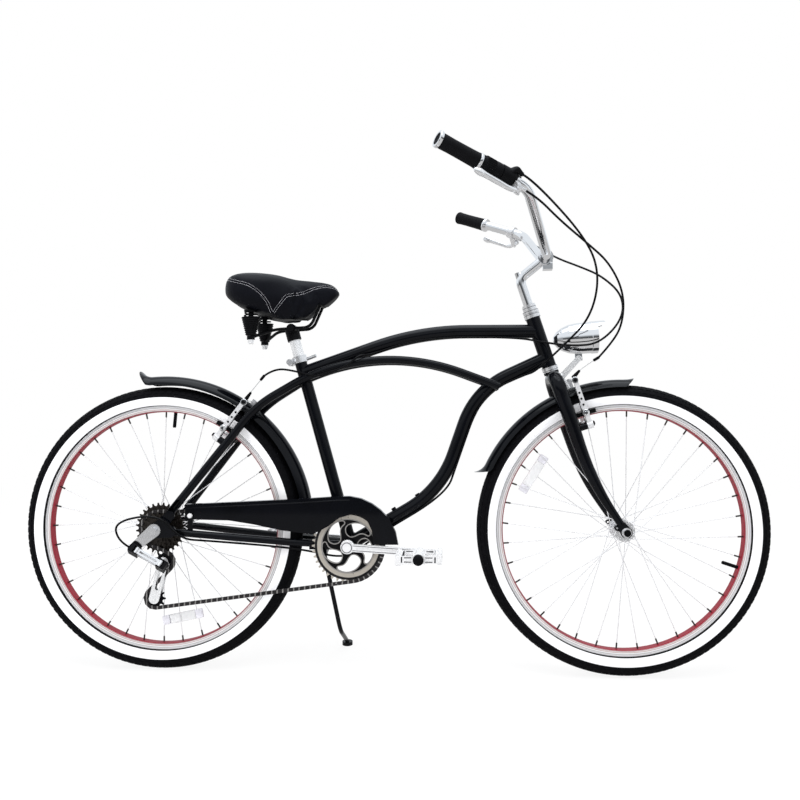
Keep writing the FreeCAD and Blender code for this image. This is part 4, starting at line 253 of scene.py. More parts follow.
def rim_material(name, centre):
    """Pale alloy sides with thin grey and pinkish rings at set radii, and a red bed facing the hub."""
    g = Finish(name)
    radius = g.from_axle(centre)
    bed = g.span(radius, 0.27235, 0.27265, 1.0, 0.0)
    cloud = g.noise(60.0)
    sides = g.mix(cloud, (0.84, 0.84, 0.85), (0.9, 0.9, 0.91))
    for place, half, colour in ((0.2858, 0.0006, (0.35, 0.33, 0.34)), (0.2806, 0.0005, (0.5, 0.46, 0.46)),
                                (0.2762, 0.0009, (0.6, 0.47, 0.45)), (0.2733, 0.0006, (0.32, 0.2, 0.2))):
        sides = g.mix(g.stripe(radius, place, half, 0.0003), sides, colour)
    red = g.mix(cloud, (0.2, 0.006, 0.016), (0.27, 0.012, 0.026))
    g.set(color=g.mix(bed, sides, red), rough=g.span(bed, 0.0, 1.0, 0.32, 0.4),
          metal=g.span(bed, 0.0, 1.0, 0.25, 0.0), spec=0.2)
    return g.mat


def spoke_material(name, centre):
    """Bright wire with dark nipples at the rim."""
    g = Finish(name)
    nipple = g.span(g.from_axle(centre), 0.2578, 0.2582)
    cloud = g.noise(70.0)
    wire = g.mix(cloud, (0.78, 0.78, 0.79), (0.88, 0.88, 0.89))
    g.set(color=g.mix(nipple, wire, (0.04, 0.037, 0.034)),
          rough=g.span(cloud, 0.3, 0.7, 0.26, 0.36), metal=0.4)
    return g.mat


def brake_material(name, centre):
    """Satin alloy arms; what lies close to the rim is the rubber shoe."""
    g = Finish(name)
    shoe = g.span(g.math("ABSOLUTE", g.along(centre, AXLE_WAY)), 0.0258, 0.0262, 1.0, 0.0)
    arm = g.mix(g.noise(60.0), *SILVER)
    g.set(color=g.mix(shoe, arm, (0.0035, 0.0035, 0.004)), rough=g.span(shoe, 0.0, 1.0, 0.25, 0.6),
          metal=g.span(shoe, 0.0, 1.0, 0.5, 0.0), spec=0.1)
    return g.mat


def ring_material(name, centre):
    """A pale inner band, a black line and bright teeth."""
    g = Finish(name)
    radius = g.from_axle(centre)
    line = g.math("MULTIPLY", g.span(radius, 0.0711, 0.0714), g.span(radius, 0.0769, 0.0772, 1.0, 0.0))
    cloud = g.noise(80.0)
    band = g.mix(cloud, (0.6, 0.55, 0.48), (0.7, 0.65, 0.58))
    g.set(color=g.mix(line, band, (0.012, 0.012, 0.013)), rough=g.span(cloud, 0.3, 0.7, 0.26, 0.36),
          metal=g.span(line, 0.0, 1.0, 0.7, 0.05), spec=0.1)
    return g.mat


def claw_material(name, centre):
    """A silver hanger whose end block is black."""
    g = Finish(name)
    block = g.span(g.vec("LENGTH", g.away(centre)), 0.0225, 0.0228, 1.0, 0.0)
    claw = g.mix(g.noise(60.0), *SILVER)
    g.set(color=g.mix(block, claw, (0.004, 0.004, 0.005)), rough=g.span(block, 0.0, 1.0, 0.26, 0.42),
          metal=g.span(block, 0.0, 1.0, 0.85, 0.0), spec=0.1)
    return g.mat


def chain_material(name, centre):
    """Oiled dark links with paler waists, counted round the chainring and along the straight runs."""
    g = Finish(name)
    on_ring = g.span(g.from_axle(centre), 0.0905, 0.0906, 1.0, 0.0)
    run = g.math("MULTIPLY", g.vec("DOT_PRODUCT", g.coord, AHEAD), 1.0 / CHAIN_PITCH)
    angle = g.math("ARCTAN2", g.along(centre, UP_WAY), g.along(centre, AHEAD))
    turns = g.math("MULTIPLY", angle, RING_TEETH / (2 * math.pi))
    count = g.math("ADD", run, g.math("MULTIPLY", on_ring, g.math("SUBTRACT", turns, run)))
    waist = g.span(g.math("ABSOLUTE", g.math("SUBTRACT", g.math("FRACT", count), 0.5)), 0.36, 0.43)
    cloud = g.noise(120.0)
    link = g.mix(cloud, (0.018, 0.016, 0.018), (0.045, 0.041, 0.042))
    g.set(color=g.mix(waist, link, (0.34, 0.33, 0.32)), rough=g.span(cloud, 0.3, 0.7, 0.34, 0.44), metal=0.6)
    return g.mat


def crank_material(name, centre, across_way):
    """Bright arms with a thin shadow line along each side of the groove and round the boss."""
    g = Finish(name)
    radius = g.from_axle(centre)
    off = g.math("ABSOLUTE", g.along(centre, across_way))
    groove = g.math("MULTIPLY", g.stripe(off, 0.0052, 0.0006, 0.0006), g.span(radius, 0.0135, 0.014))
    shadow = g.math("MAXIMUM", groove, g.stripe(radius, 0.0112, 0.0008, 0.0006))
    cloud = g.noise(70.0)
    g.set(color=g.mix(shadow, g.mix(cloud, *BRIGHT), (0.16, 0.16, 0.17)),
          rough=g.span(cloud, 0.3, 0.7, 0.2, 0.26), metal=0.4)
    return g.mat


def pedal_material(name, centre):
    """A bright cage with dark slits beside the axle and at its ends."""
    g = Finish(name)
    ahead_of = g.math("ABSOLUTE", g.along(centre, AHEAD))
    above = g.math("ABSOLUTE", g.along(centre, UP_WAY))
    reach = g.math("MULTIPLY", g.span(ahead_of, 0.0145, 0.015), g.span(ahead_of, 0.030, 0.0305, 1.0, 0.0))
    long_slit = g.math("MULTIPLY", g.stripe(above, 0.0045, 0.0008, 0.0005), reach)
    height = g.span(above, 0.006, 0.0065, 1.0, 0.0)
    end_slit = g.math("MULTIPLY", g.stripe(ahead_of, 0.0355, 0.0013, 0.0005), height)
    cloud = g.noise(70.0)
    g.set(color=g.mix(g.math("MAXIMUM", long_slit, end_slit), g.mix(cloud, *BRIGHT), (0.03, 0.03, 0.033)),
          rough=g.span(cloud, 0.3, 0.7, 0.22, 0.3), metal=0.4)
    return g.mat


def nut_material(name, centre):
    """A bright washer round a black nut and axle end."""
    g = Finish(name)
    nut = g.span(g.from_axle(centre), 0.0078, 0.0082, 1.0, 0.0)
    cloud = g.noise(90.0)
    washer = g.mix(cloud, (0.8, 0.8, 0.81), (0.88, 0.88, 0.89))
    g.set(color=g.mix(nut, washer, (0.006, 0.006, 0.007)),
          rough=g.span(cloud, 0.3, 0.7, 0.26, 0.34), metal=0.8)
    return g.mat


def headset_material(name, foot, way, pitch):
    """Bright rings parted by thin dark grooves."""
    g = Finish(name)
    wave = g.math("ABSOLUTE", g.math("SINE", g.math("MULTIPLY", g.along(foot, way), math.pi / pitch)))
    groove = g.span(wave, 0.14, 0.24, 1.0, 0.0)
    cloud = g.noise(70.0)
    g.set(color=g.mix(groove, g.mix(cloud, *SILVER), (0.05, 0.05, 0.055)),
          rough=g.span(cloud, 0.3, 0.7, 0.2, 0.26), metal=0.85)
    return g.mat


def glass_material(name):
    g = Finish(name)
    g.set(color=g.mix(g.noise(30.0), (0.93, 0.95, 0.96), (0.98, 0.99, 1.0)), rough=0.04, clear=1.0, ior=1.49)
    return g.mat


def reflector_material(name):
    """Clear plastic with small prisms."""
    g = Finish(name)
    prisms = g.cells(420.0)
    g.set(color=g.mix(prisms, (0.93, 0.93, 0.94), (0.99, 0.99, 0.99)), rough=0.2, clear=0.3, ior=1.49)
    g.bump(prisms, 0.5, 0.0008)
    return g.mat


def grip_material(name, start, way):
    """Rubber with fine ribs round the grip."""
    g = Finish(name)
    ribs = g.math("SINE", g.math("MULTIPLY", g.along(start, way), 2 * math.pi / 0.0034))
    cloud = g.noise(90.0, 4.0)
    g.set(color=g.mix(cloud, (0.003, 0.003, 0.0038), (0.0062, 0.0062, 0.0075)),
          rough=g.span(cloud, 0.3, 0.7, 0.52, 0.66), spec=0.08)
    g.bump(g.math("ADD", ribs, g.math("MULTIPLY", g.noise(1500.0), 0.7)), 0.35, 0.0006)
    return g.mat


def leather_material(name):
    """Black leather with a soft grain."""
    g = Finish(name)
    cloud = g.noise(26.0, 5.0)
    g.set(color=g.mix(cloud, (0.0024, 0.0027, 0.0042), (0.0048, 0.0053, 0.008)),
          rough=g.span(cloud, 0.3, 0.7, 0.36, 0.46), spec=0.08)
    grain = g.math("ADD", g.cells(620.0, feature="SMOOTH_F1"), g.math("MULTIPLY", g.noise(140.0), 0.6))
    g.bump(grain, 0.22, 0.0006)
    return g.mat


glass = glass_material("lens_glass")
white_plastic = plain("white_cap", (0.78, 0.78, 0.79), 0.35)
spring_black = plain("spring_enamel", (0.003, 0.003, 0.0038), 0.4, grain=80.0, spec=0.1)
thread_white = plain("pale_thread", (0.6, 0.6, 0.63), 0.7, grain=600.0, vary=0.2)
tread_rubber = plain("tread_rubber", (0.0033, 0.0033, 0.0042), 0.64, grain=60.0, bump=0.12, fine=1300.0,
                     spec=0.06)
clip_grey = plain("grey_clip", (0.7, 0.69, 0.74), 0.4, bump=0.08)
lip_steel = plain("lip_steel", (0.34, 0.325, 0.31), 0.34, metal=0.5, grain=90.0)
reflector_clear = reflector_material("clear_reflector")


def wear(finish, *names):
    """Gives CAD pieces their one material."""
    for name in names:
        mesh = nodes[name].data
        mesh.materials.clear()
        mesh.materials.append(finish)


wear(paint, "head_tube", "top_tube", "down_tube", "seat_tube", "bottom_bracket_shell", "stay_tubes",
     "chain_stays", "frame_fittings", "rear_mudguard", "front_mudguard", "chain_guard", "fork",
     "kickstand_leg")
wear(pale_metal, "lamp_bracket", "derailleur_cage", "seatpost")
wear(alloy, "seat_clamp", "front_hub", "rear_hub", "brake_lever_right", "brake_lever_left", "lever_brackets",
     "derailleur_outer_link", "derailleur_inner_link")
wear(chrome, "stem", "handlebar", "lamp_shell")
wear(black_metal, "chainring_spider", "derailleur_knuckle", "saddle_frame", "saddle_springs", "saddle_cover")
wear(black_plastic, "shifter_housing", "shifter_grip", "grips", "guide_pulley", "tension_pulley")
wear(cable_black, "frame_cables", "front_brake_cable")
wear(cog_steel, "freewheel")
wear(glass, "lamp_lens")
wear(nut_material("front_nut_finish", stand(FRONT_HUB)), "front_axle")
wear(headset_material("headset_finish", stand(HEAD), lean(HEAD_UP), 0.0085), "headset_nuts", "bearing_cups")
wear(chain_material("oiled_chain_steel", stand(BB)), "chain")
crank_across = lean(CRANK.cross(Vector((0, 1, 0))).normalized())
wear(crank_material("crank_alloy", stand(BB), crank_across), "cranks")
wear(pedal_material("right_pedal_alloy", stand(BB + CRANK)), "pedal_right")
wear(pedal_material("left_pedal_alloy", stand(BB - CRANK)), "pedal_left")
wear(ring_material("chainring_finish", stand(BB)), "chainring")
wear(claw_material("hanger_finish", stand(HANGER_BLOCK)), "rear_axle")
for end, hub in (("front", stand(FRONT_HUB)), ("rear", stand(REAR_HUB))):
    wear(tyre_material(end + "_tyre_rubber", hub), end + "_tyre")
    wear(rim_material(end + "_rim_finish", hub), end + "_rim")
    wear(spoke_material(end + "_spoke_steel", hub), end + "_spokes")
    wear(brake_material(end + "_brake_alloy", hub), end + "_brake_arm_right", end + "_brake_arm_left")

# Camera, floor and light

EYE = (677.4, -1905.7, 580.0)
YAW, PITCH, ROLL = math.radians(-3.58), math.radians(-1.44), math.radians(-0.09)
LENS = 36.8
FLOOR_HALF = 14.0
FLOOR_IN_MIRRORS = 0.55
FLOOR_NEAR_SHARE = 0.88
STUDIO_LEVEL, GAP_DEPTH, MIRROR_STRENGTH = 0.26, 0.235, 3.4


def set_camera():
    ahead = Vector((math.sin(YAW), math.cos(YAW), 0))
    right = Vector((math.cos(YAW), -math.sin(YAW), 0))
    up = Vector((0, 0, 1))
    look = ahead * math.cos(PITCH) - up * math.sin(PITCH)
    level_rise = up * math.cos(PITCH) + ahead * math.sin(PITCH)
    across = right * math.cos(ROLL) + level_rise * math.sin(ROLL)
    rise = level_rise * math.cos(ROLL) - right * math.sin(ROLL)
    camera = bpy.data.objects.new("camera", bpy.data.cameras.new("camera"))
    camera.data.lens = LENS
    camera.data.sensor_width = 36.0
    camera.data.dof.use_dof = False
    camera.data.clip_start = 0.05
    turn = Matrix((lean(across), lean(rise), lean(-look))).transposed().to_4x4()
    camera.matrix_world = Matrix.Translation(stand(EYE)) @ turn
    scene.collection.objects.link(camera)
    scene.camera = camera
    scene.view_settings.view_transform = "Standard"


def lay_floor():
    """A pale floor that keeps the bicycle's shadow and fades to white with distance."""
    floor = bpy.data.objects.new("floor", bpy.data.meshes.new("floor"))
    bm = bmesh.new()
    bmesh.ops.create_grid(bm, x_segments=1, y_segments=1, size=FLOOR_HALF)
    bm.to_mesh(floor.data)
    bm.free()
    scene.collection.objects.link(floor)
    g = Finish("pale_floor")
    g.set(color=g.mix(g.noise(2.0), (0.93, 0.93, 0.935), (0.95, 0.95, 0.955)), rough=0.9, spec=0.1)
    path = g.new("ShaderNodeLightPath")
    seen = path.outputs["Is Camera Ray"]
    glow = g.new("ShaderNodeEmission")
    glow.inputs["Color"].default_value = (1.0, 1.0, 1.0, 1.0)
    blend = g.new("ShaderNodeMixShader")
    fade = g.span(g.vec("LENGTH", g.coord), 1.1, 3.2, FLOOR_NEAR_SHARE, 1.0, smooth=True)
    mirror_ray = g.math("ADD", path.outputs["Is Glossy Ray"], path.outputs["Is Transmission Ray"])
    g.link(g.math("ADD", g.math("MULTIPLY", seen, fade), mirror_ray), blend.inputs[0])
    g.link(g.span(seen, 0.0, 1.0, FLOOR_IN_MIRRORS, 1.0), glow.inputs["Strength"])
    g.link(g.bsdf.outputs[0], blend.inputs[1])
    g.link(glow.outputs[0], blend.inputs[2])
    g.link(blend.outputs[0], g.tree.nodes["Material Output"].inputs[0])
    floor.data.materials.append(g.mat)


def hang_studio():
    """White to the eye; mirrors see a pale studio, a dark gap level with the camera and a light overhead."""
    world = bpy.data.worlds.new("studio")
    scene.world = world
    world.use_nodes = True
    world.cycles.sampling_method = "NONE"
    sky = Nodes(world.node_tree)
    way = sky.new("ShaderNodeSeparateXYZ")
    sky.link(sky.new("ShaderNodeTexCoord").outputs["Generated"], way.inputs[0])
    toward = sky.span(sky.math("MULTIPLY", way.outputs["Y"], -1.0), 0.1, 0.6, smooth=True)
    off_level = sky.span(sky.math("ABSOLUTE", way.outputs["Z"]), 0.1, 0.42, smooth=True)
    gap = sky.math("MULTIPLY", toward, sky.math("SUBTRACT", 1.0, off_level))
    studio = sky.math("SUBTRACT", STUDIO_LEVEL, sky.math("MULTIPLY", gap, GAP_DEPTH))
    bright = sky.math("MAXIMUM", studio, sky.span(way.outputs["Z"], 0.8, 0.94, smooth=True))
    back = sky.tree.nodes["Background"]
    back.inputs["Color"].default_value = (0.97, 0.98, 1.0, 1.0)
    back.inputs["Strength"].default_value = 0.9
    mirrored = sky.new("ShaderNodeBackground")
    mirrored.inputs["Color"].default_value = (0.9, 0.95, 1.0, 1.0)
    sky.link(sky.math("MULTIPLY", bright, MIRROR_STRENGTH), mirrored.inputs["Strength"])
    seen = sky.new("ShaderNodeBackground")
    seen.inputs["Color"].default_value = (1.0, 1.0, 1.0, 1.0)
    path = sky.new("ShaderNodeLightPath")
    mirror_ray = sky.math("ADD", path.outputs["Is Glossy Ray"], path.outputs["Is Transmission Ray"])
    under = back.outputs[0]
    for ray, over in ((mirror_ray, mirrored), (path.outputs["Is Camera Ray"], seen)):
        mixed = sky.new("ShaderNodeMixShader")
        for socket, value in zip(mixed.inputs, (ray, under, over.outputs[0])):
            sky.link(value, socket)
        under = mixed.outputs[0]
    sky.link(under, sky.tree.nodes["World Output"].inputs[0])


def softbox(name, place, target, size, power):
    light = bpy.data.lights.new(name, "AREA")
    light.shape = "RECTANGLE"
    light.size, light.size_y = size
    light.energy = power
    lamp = bpy.data.objects.new(name, light)
    lamp.location = place
    lamp.visible_glossy = False
    lamp.rotation_euler = (Vector(target) - Vector(place)).to_track_quat("-Z", "Y").to_euler()
    scene.collection.objects.link(lamp)


set_camera()
lay_floor()
hang_studio()
softbox("top_light", (0.0, -0.6, 3.2), (0.0, 0.0, 0.5), (3.4, 1.6), 70.0)
softbox("side_light", (-2.6, -2.6, 2.0), (0.0, 0.0, 0.6), (1.6, 1.8), 45.0)
softbox("back_light", (1.6, 2.8, 2.2), (0.0, 0.0, 0.6), (2.4, 1.4), 30.0)

# Shaping helpers. Pieces are drawn upright in millimetres and set on the leaning bicycle by UPRIGHT.

UPRIGHT = Matrix.Translation(stand((0, 0, 0))) @ TILT.to_4x4() @ Matrix.Scale(0.001, 4)


def along(origin, axis, side=(0, 0, 1)):
    """The matrix that lays a local Z on a line of the upright bicycle."""
    z = Vector(axis).normalized()
    x = Vector(side) - z * Vector(side).dot(z)
    if x.length < 1e-4:
        x = z.orthogonal()
    x.normalize()
    turned = Matrix((x, z.cross(x), z)).transposed().to_4x4()
    turned.translation = Vector(origin)
    return UPRIGHT @ turned


def spun(profile, where, steps=48, ring=True):
    """A turned piece: a half profile of (radius, along) spun round the local Z."""
    bm = bmesh.new()
    corners = [bm.verts.new((r, 0.0, z)) for r, z in profile]
    edges = [bm.edges.new(pair) for pair in zip(corners, corners[1:])]
    if ring:
        edges.append(bm.edges.new((corners[-1], corners[0])))
    bmesh.ops.spin(bm, geom=corners + edges, cent=(0, 0, 0), axis=(0, 0, 1), angle=2 * math.pi, steps=steps,
                   use_merge=True)
    bmesh.ops.remove_doubles(bm, verts=bm.verts, dist=0.001)
    bm.transform(where)
    return bm


def join(parts):
    """Several shells as one bmesh."""
    whole = bmesh.new()
    for bm in parts:
        mesh = bpy.data.meshes.new("shell")
        bm.to_mesh(mesh)
        bm.free()
        whole.from_mesh(mesh)
        bpy.data.meshes.remove(mesh)
    return whole


def piece(name, bm, material, body=None, replaces=(), crease=35.0):
    """A finished piece of the bicycle, on its body."""
    bmesh.ops.remove_doubles(bm, verts=bm.verts, dist=1e-7)
    bmesh.ops.recalc_face_normals(bm, faces=bm.faces)
    for face in bm.faces:
        face.smooth = True
    mesh = bpy.data.meshes.new(name)
    bm.to_mesh(mesh)
    bm.free()
    mesh.set_sharp_from_angle(angle=math.radians(crease))
    mesh.materials.append(material)
    obj = bpy.data.objects.new(name, mesh)
    scene.collection.objects.link(obj)
    if replaces:
        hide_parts(*replaces)
    if body:
        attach(obj, body)
    return obj


def line_mesh(points, radius=None):
    """A smooth NURBS line with the route's points as control points, as a tube or as bare points."""
    curve = bpy.data.curves.new("line", "CURVE")
    curve.dimensions = "3D"
    spline = curve.splines.new("NURBS")
    spline.points.add(len(points) - 1)
    for knot, spot in zip(spline.points, points):
        knot.co = (*stand(spot), 1.0)
    spline.order_u = 3
    spline.use_endpoint_u = True
    spline.resolution_u = 10
    if radius:
        curve.bevel_depth = radius / 1000.0
        curve.bevel_resolution = 3
        curve.use_fill_caps = True
    obj = bpy.data.objects.new("line", curve)
    scene.collection.objects.link(obj)
    mesh = baked(obj)
    bpy.data.objects.remove(obj)
    bpy.data.curves.remove(curve)
    return mesh


def baked(obj):
    return bpy.data.meshes.new_from_object(obj.evaluated_get(bpy.context.evaluated_depsgraph_get()))


def tube(points, radius):
    bm = bmesh.new()
    mesh = line_mesh(points, radius)
    bm.from_mesh(mesh)
    bpy.data.meshes.remove(mesh)
    return bm


def bevelled_boxes(sizes, offset, where):
    """Boxes of (size, height along the local Z) with rounded edges."""
    bm = bmesh.new()
    for size, height in sizes:
        place = Matrix.Translation((0, 0, height)) @ Matrix.Diagonal((*size, 1.0))
        bmesh.ops.create_cube(bm, size=1.0, matrix=place)
    bmesh.ops.bevel(bm, geom=bm.edges[:], offset=offset, affect="EDGES", segments=2, profile=0.5, material=-1)
    bm.transform(where)
    return bm


# Cables: sheaths along their routes, then ferrule, bare wire, boot and the wire across each brake

CABLE, BARE_WIRE = 2.4, 0.8
gear_route = [(822.8, -262.6, 1073.4), (847.8, -249.5, 1063.2), (971, -140, 966), (1002, -106, 893),
              (985, -84, 806), (930, -58, 748), (868, -24, 690), (846.8, -12, 685.5), (746.3, -12, 639.7),
              (690, -12, 480), (665.6, -12, 409.5), (493.9, -12, 308.3), (437, -14, 258), (330, -40, 287.5),
              (120, -56, 305.5), (62, -79, 312), (16, -87, 370), (-88, -83, 352), (-85.7, -71, 306.8),
              (-57.8, -71, 291.6)]
rear_route = [(861.6, 248.1, 1054.3), (884.7, 232.2, 1043.5), (925, 62, 970), (981, 20, 938),
              (1024, -10, 911), (1064, -42, 862), (1062, -48, 806), (1010, -50, 752), (953, -48, 747),
              (892, -28, 757), (826.8, -12, 772.1), (607.3, -12, 772.9), (491, -12, 732.9), (466, -37, 731),
              (440, -41, 706), (372, -40, 679), (318, -40, 695), (272, -46, 701), (247, -46.4, 683)]
front_route = [(828.2, -255.3, 1043.2), (853.2, -242.3, 1033), (908, -170, 1003), (974, -120, 963),
               (1025, -93, 926), (1062, -68, 862), (1058, -64, 790), (1030, -60.6, 746), (1006, -57.5, 720)]
REAR_TOP = Vector((205.3, -45.5, 630.4))
FRONT_TOP = Vector((953.7, -45.5, 678.0))
FERRULE = [(0.0, -2), (3.1, -2), (3.3, -1), (3.3, 11), (2.2, 13), (0.0, 13)]
BOOT = [(0.0, -4), (4.6, -4), (4.8, 0), (4.2, 3), (4.4, 5), (3.7, 8), (3.9, 10), (3.1, 13), (3.3, 15),
        (2.4, 19), (0.0, 20)]
CROSS_WIRE = [(0.0, -43), (0.9, -43), (0.9, 43), (0.0, 43)]

shift_sheath = piece("gear_cable", tube(gear_route, CABLE), cable_black, replaces=("frame_cables",))
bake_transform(shift_sheath)
rear_sheath = piece("rear_brake_cable", tube(rear_route, CABLE), cable_black,
                    replaces=("frame_cables",))
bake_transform(rear_sheath)
piece("front_brake_sheath", tube(front_route, CABLE), cable_black, body="steering",
      replaces=("front_brake_cable",))
for end, start, top, bend, body in (
        ("rear", Vector(rear_route[-1]), REAR_TOP, Vector((226, -46, 658)), "frame"),
        ("front", Vector(front_route[-1]), FRONT_TOP, Vector((972, -47, 699)), "steering")):
    bare = tube([start, bend, top + Vector((0, 0, 3))], BARE_WIRE)
    piece(end + "_bare_wire", bare, steel, body=body)
    ferrule = spun(FERRULE, along(start, bend - start), 20, ring=False)
    piece(end + "_ferrule", ferrule, black_plastic, body=body)
    boot = spun(BOOT, along(top, bend - top), 20, ring=False)
    piece(end + "_wire_boot", boot, pad_black, body=end + "_brake_right")
    cross = spun(CROSS_WIRE, along((top.x, 0, top.z - 4), (0, 1, 0)), 10, ring=False)
    piece(end + "_cross_wire", cross, steel, body=body)

# Brake fittings: pivot bolts, shoe nuts, wire clamps, spring wires and the holes along each arm

WASHER = [(0.0, -0.5), (7.6, -0.5), (7.6, 1.2), (6.8, 1.8), (0.0, 1.8)]
BOLT_HEAD = [(0.0, 1.0), (4.6, 1.0), (4.6, 5.0), (3.8, 5.8), (0.0, 5.8)]
DIMPLE = [(0.0, -0.5), (2.5, -0.5), (2.5, 0.25), (0.0, 0.25)]
SHOE_RISE, CLAMP_RISE = 27, 104
ARM_TAPER = 0.0118


def brake_fittings(body, pivot, up_way, out_way, side):
    outward = Vector((0, side, 0))

    def on_arm(rise, depth, reach):
        return pivot + up_way * rise + out_way * depth + outward * reach

    def fitting(profile, spot, way, steps):
        return spun(profile, along(on_arm(*spot), way), steps, ring=False)

    bright = [fitting(WASHER, (0, 5.5, 40), out_way, 28),
              fitting(WASHER, (SHOE_RISE, -1, 50), outward, 28),
              fitting(WASHER, (CLAMP_RISE, -1, 49), outward, 28),
              fitting(BOLT_HEAD, (SHOE_RISE, -1, 50.3), outward, 6)]
    dark = [fitting(BOLT_HEAD, (0, 5.8, 40), out_way, 6),
            fitting(BOLT_HEAD, (CLAMP_RISE, -1, 49.3), outward, 6)]
    for rise in (46, 60, 74):
        dark.append(fitting(DIMPLE, (rise, -1, 50.15 - ARM_TAPER * (rise - SHOE_RISE)), outward, 20))
    dark.append(tube([on_arm(2, -8.6, 46), on_arm(20, -9.0, 46), on_arm(62, -8.0, 47)], 0.9))
    piece(body + "_bright_fittings", join(bright), chrome, body=body, crease=25.0)
    piece(body + "_dark_fittings", join(dark), black_metal, body=body, crease=25.0)


for end, pivot, up_way, out_way in (
        ("rear", Vector((134.6, 0, 542.7)), Vector((0.628, 0, 0.779)), Vector((-0.779, 0, 0.628))),
        ("front", Vector((988.9, 0, 571.7)), Vector((-0.314, 0, 0.949)), Vector((0.949, 0, 0.314)))):
    for word, side in (("right", -1), ("left", 1)):
        brake_fittings(end + "_brake_" + word, pivot, up_way, out_way, side)

# Tyre tread, spoke reflectors

TREAD_BLOCKS = 120
# Slant across the tyre, height over it and shift round it of each row of blocks.
TREAD_ROWS = ((-58, 1.1, 0.0), (-35, 0.8, 0.5), (-12, 0.3, 0.0), (12, 0.3, 0.5), (35, 0.8, 0.0),
              (58, 1.1, 0.5))
TREAD_BLOCK = (4.0, 8.4, 11.5)
LENS_BOX, CLIP_BOX, CLIP_OUT = (22.0, 7.0, 62.0), (21.0, 9.0, 17.0), 40.0


def tread(name, hub, body):
    """Rows of low blocks round the tyre's crown and shoulders."""
    bm = bmesh.new()
    for slant, proud, phase in TREAD_ROWS:
        tip = Matrix.Translation((R_WHEEL - TYRE, 0, 0)) @ Matrix.Rotation(math.radians(slant), 4, "Z")
        tip = tip @ Matrix.Translation((TYRE - 2 + proud, 0, 0)) @ Matrix.Diagonal((*TREAD_BLOCK, 1.0))
        for k in range(TREAD_BLOCKS):
            turn_round = Matrix.Rotation(2 * math.pi * (k + phase) / TREAD_BLOCKS, 4, "Y")
            bmesh.ops.create_cube(bm, size=1.0, matrix=turn_round @ tip)
    bm.transform(UPRIGHT @ Matrix.Translation(hub))
    piece(name, bm, tread_rubber, body=body)


def reflector(name, hub, reach, angle, body):
    """A clear spoke reflector with a grey clip at each end."""
    base = UPRIGHT @ Matrix.Translation(hub) @ Matrix.Rotation(-math.radians(angle), 4, "Y")
    base = base @ Matrix.Translation((reach, 0, 0))
    lens = bevelled_boxes([(LENS_BOX, 0.0)], 2.0, base)
    piece(name + "_lens", lens, reflector_clear, body=body)
    clips = bevelled_boxes([(CLIP_BOX, CLIP_OUT), (CLIP_BOX, -CLIP_OUT)], 1.6, base)
    piece(name + "_clips", clips, clip_grey, body=body)


tread("front_tread", FRONT_HUB, "front_wheel")
tread("rear_tread", REAR_HUB, "rear_wheel")
reflector("front_reflector", FRONT_HUB, 236.0, 147.6, "front_wheel")
reflector("rear_reflector", REAR_HUB, 216.0, -78.0, "rear_wheel")

# Handlebar: grips, rings, end plug, twist grip and shifter nose

BAR_TURN = Matrix.Rotation(math.radians(-4.0), 3, HEAD_UP)
BAR_END = Vector((677.6, 340.0, 1131.5))
BAR_BEND = Vector((850.5, 236.0, 1056.0))
GRIP_WAY = (BAR_BEND - BAR_END).normalized()
GRIP_BODY = [(15.6, 8), (15.2, 30), (15.5, 60), (15.9, 82), (16.4, 90), (11.15, 90)]
OPEN_END = [(11.15, 3), (15.2, 3)]
CLOSED_END = [(0.0, -5), (3.0, -5), (3.2, -2.6), (12.0, -2.2), (15.6, -0.4), (16.4, 2.5), (16.0, 5)]
INNER_RING = [(11.15, 90), (16.9, 90), (17.3, 90.8), (17.3, 95), (16.9, 96), (11.15, 96)]
END_RING = [(12.6, -4.2), (16.8, -4.2), (17.6, -3.2), (17.4, 2.4), (16.4, 3.2), (11.2, 3.2)]
END_PLUG = [(0.0, -1.4), (5.0, -1.6), (10.4, -2.6), (12.5, -4.0), (12.5, 1.0), (0.0, 1.0)]
TWIST = [(11.2, 96.5), (16.4, 96.5), (17.0, 98), (17.6, 104), (17.6, 105.5), (17.6, 112), (17.6, 119),
         (17.6, 126), (17.6, 127.5), (18.6, 129), (18.9, 134), (18.9, 141), (18.3, 144), (11.2, 144)]
TWIST_STEPS, RIB_PROUD = 90, 1.3
NOSE = [(11.3, 170.4), (19.2, 170.4), (19.0, 173), (17.8, 176), (16.4, 179), (14.6, 182), (11.3, 183)]
NOSE_LIFT = Vector((0, 0, 2.5))


def on_bar(side, spot):
    """A point of the left half of the bar, or its twin on the right, with the bar turned in its clamp."""
    return HEAD + BAR_TURN @ (Vector((spot.x, spot.y * side, spot.z)) - HEAD)


def bar_line(side):
    """Where and which way a grip runs from its end."""
    start = on_bar(side, BAR_END)
    return start, on_bar(side, BAR_END + GRIP_WAY) - start


def grip(word, side):
    start, way = bar_line(side)
    rubber = grip_material("grip_rubber_" + word, stand(start), lean(way))
    outline = (OPEN_END if side < 0 else CLOSED_END) + GRIP_BODY
    sleeve = spun(outline, along(start, way), 56, ring=side < 0)
    piece("grip_" + word, sleeve, rubber, body="steering", replaces=("grips",))
    rings = [spun(INNER_RING, along(start, way), 56)]
    if side < 0:
        rings.append(spun(END_RING, along(start, way), 56))
    piece("grip_rings_" + word, join(rings), chrome, body="steering")


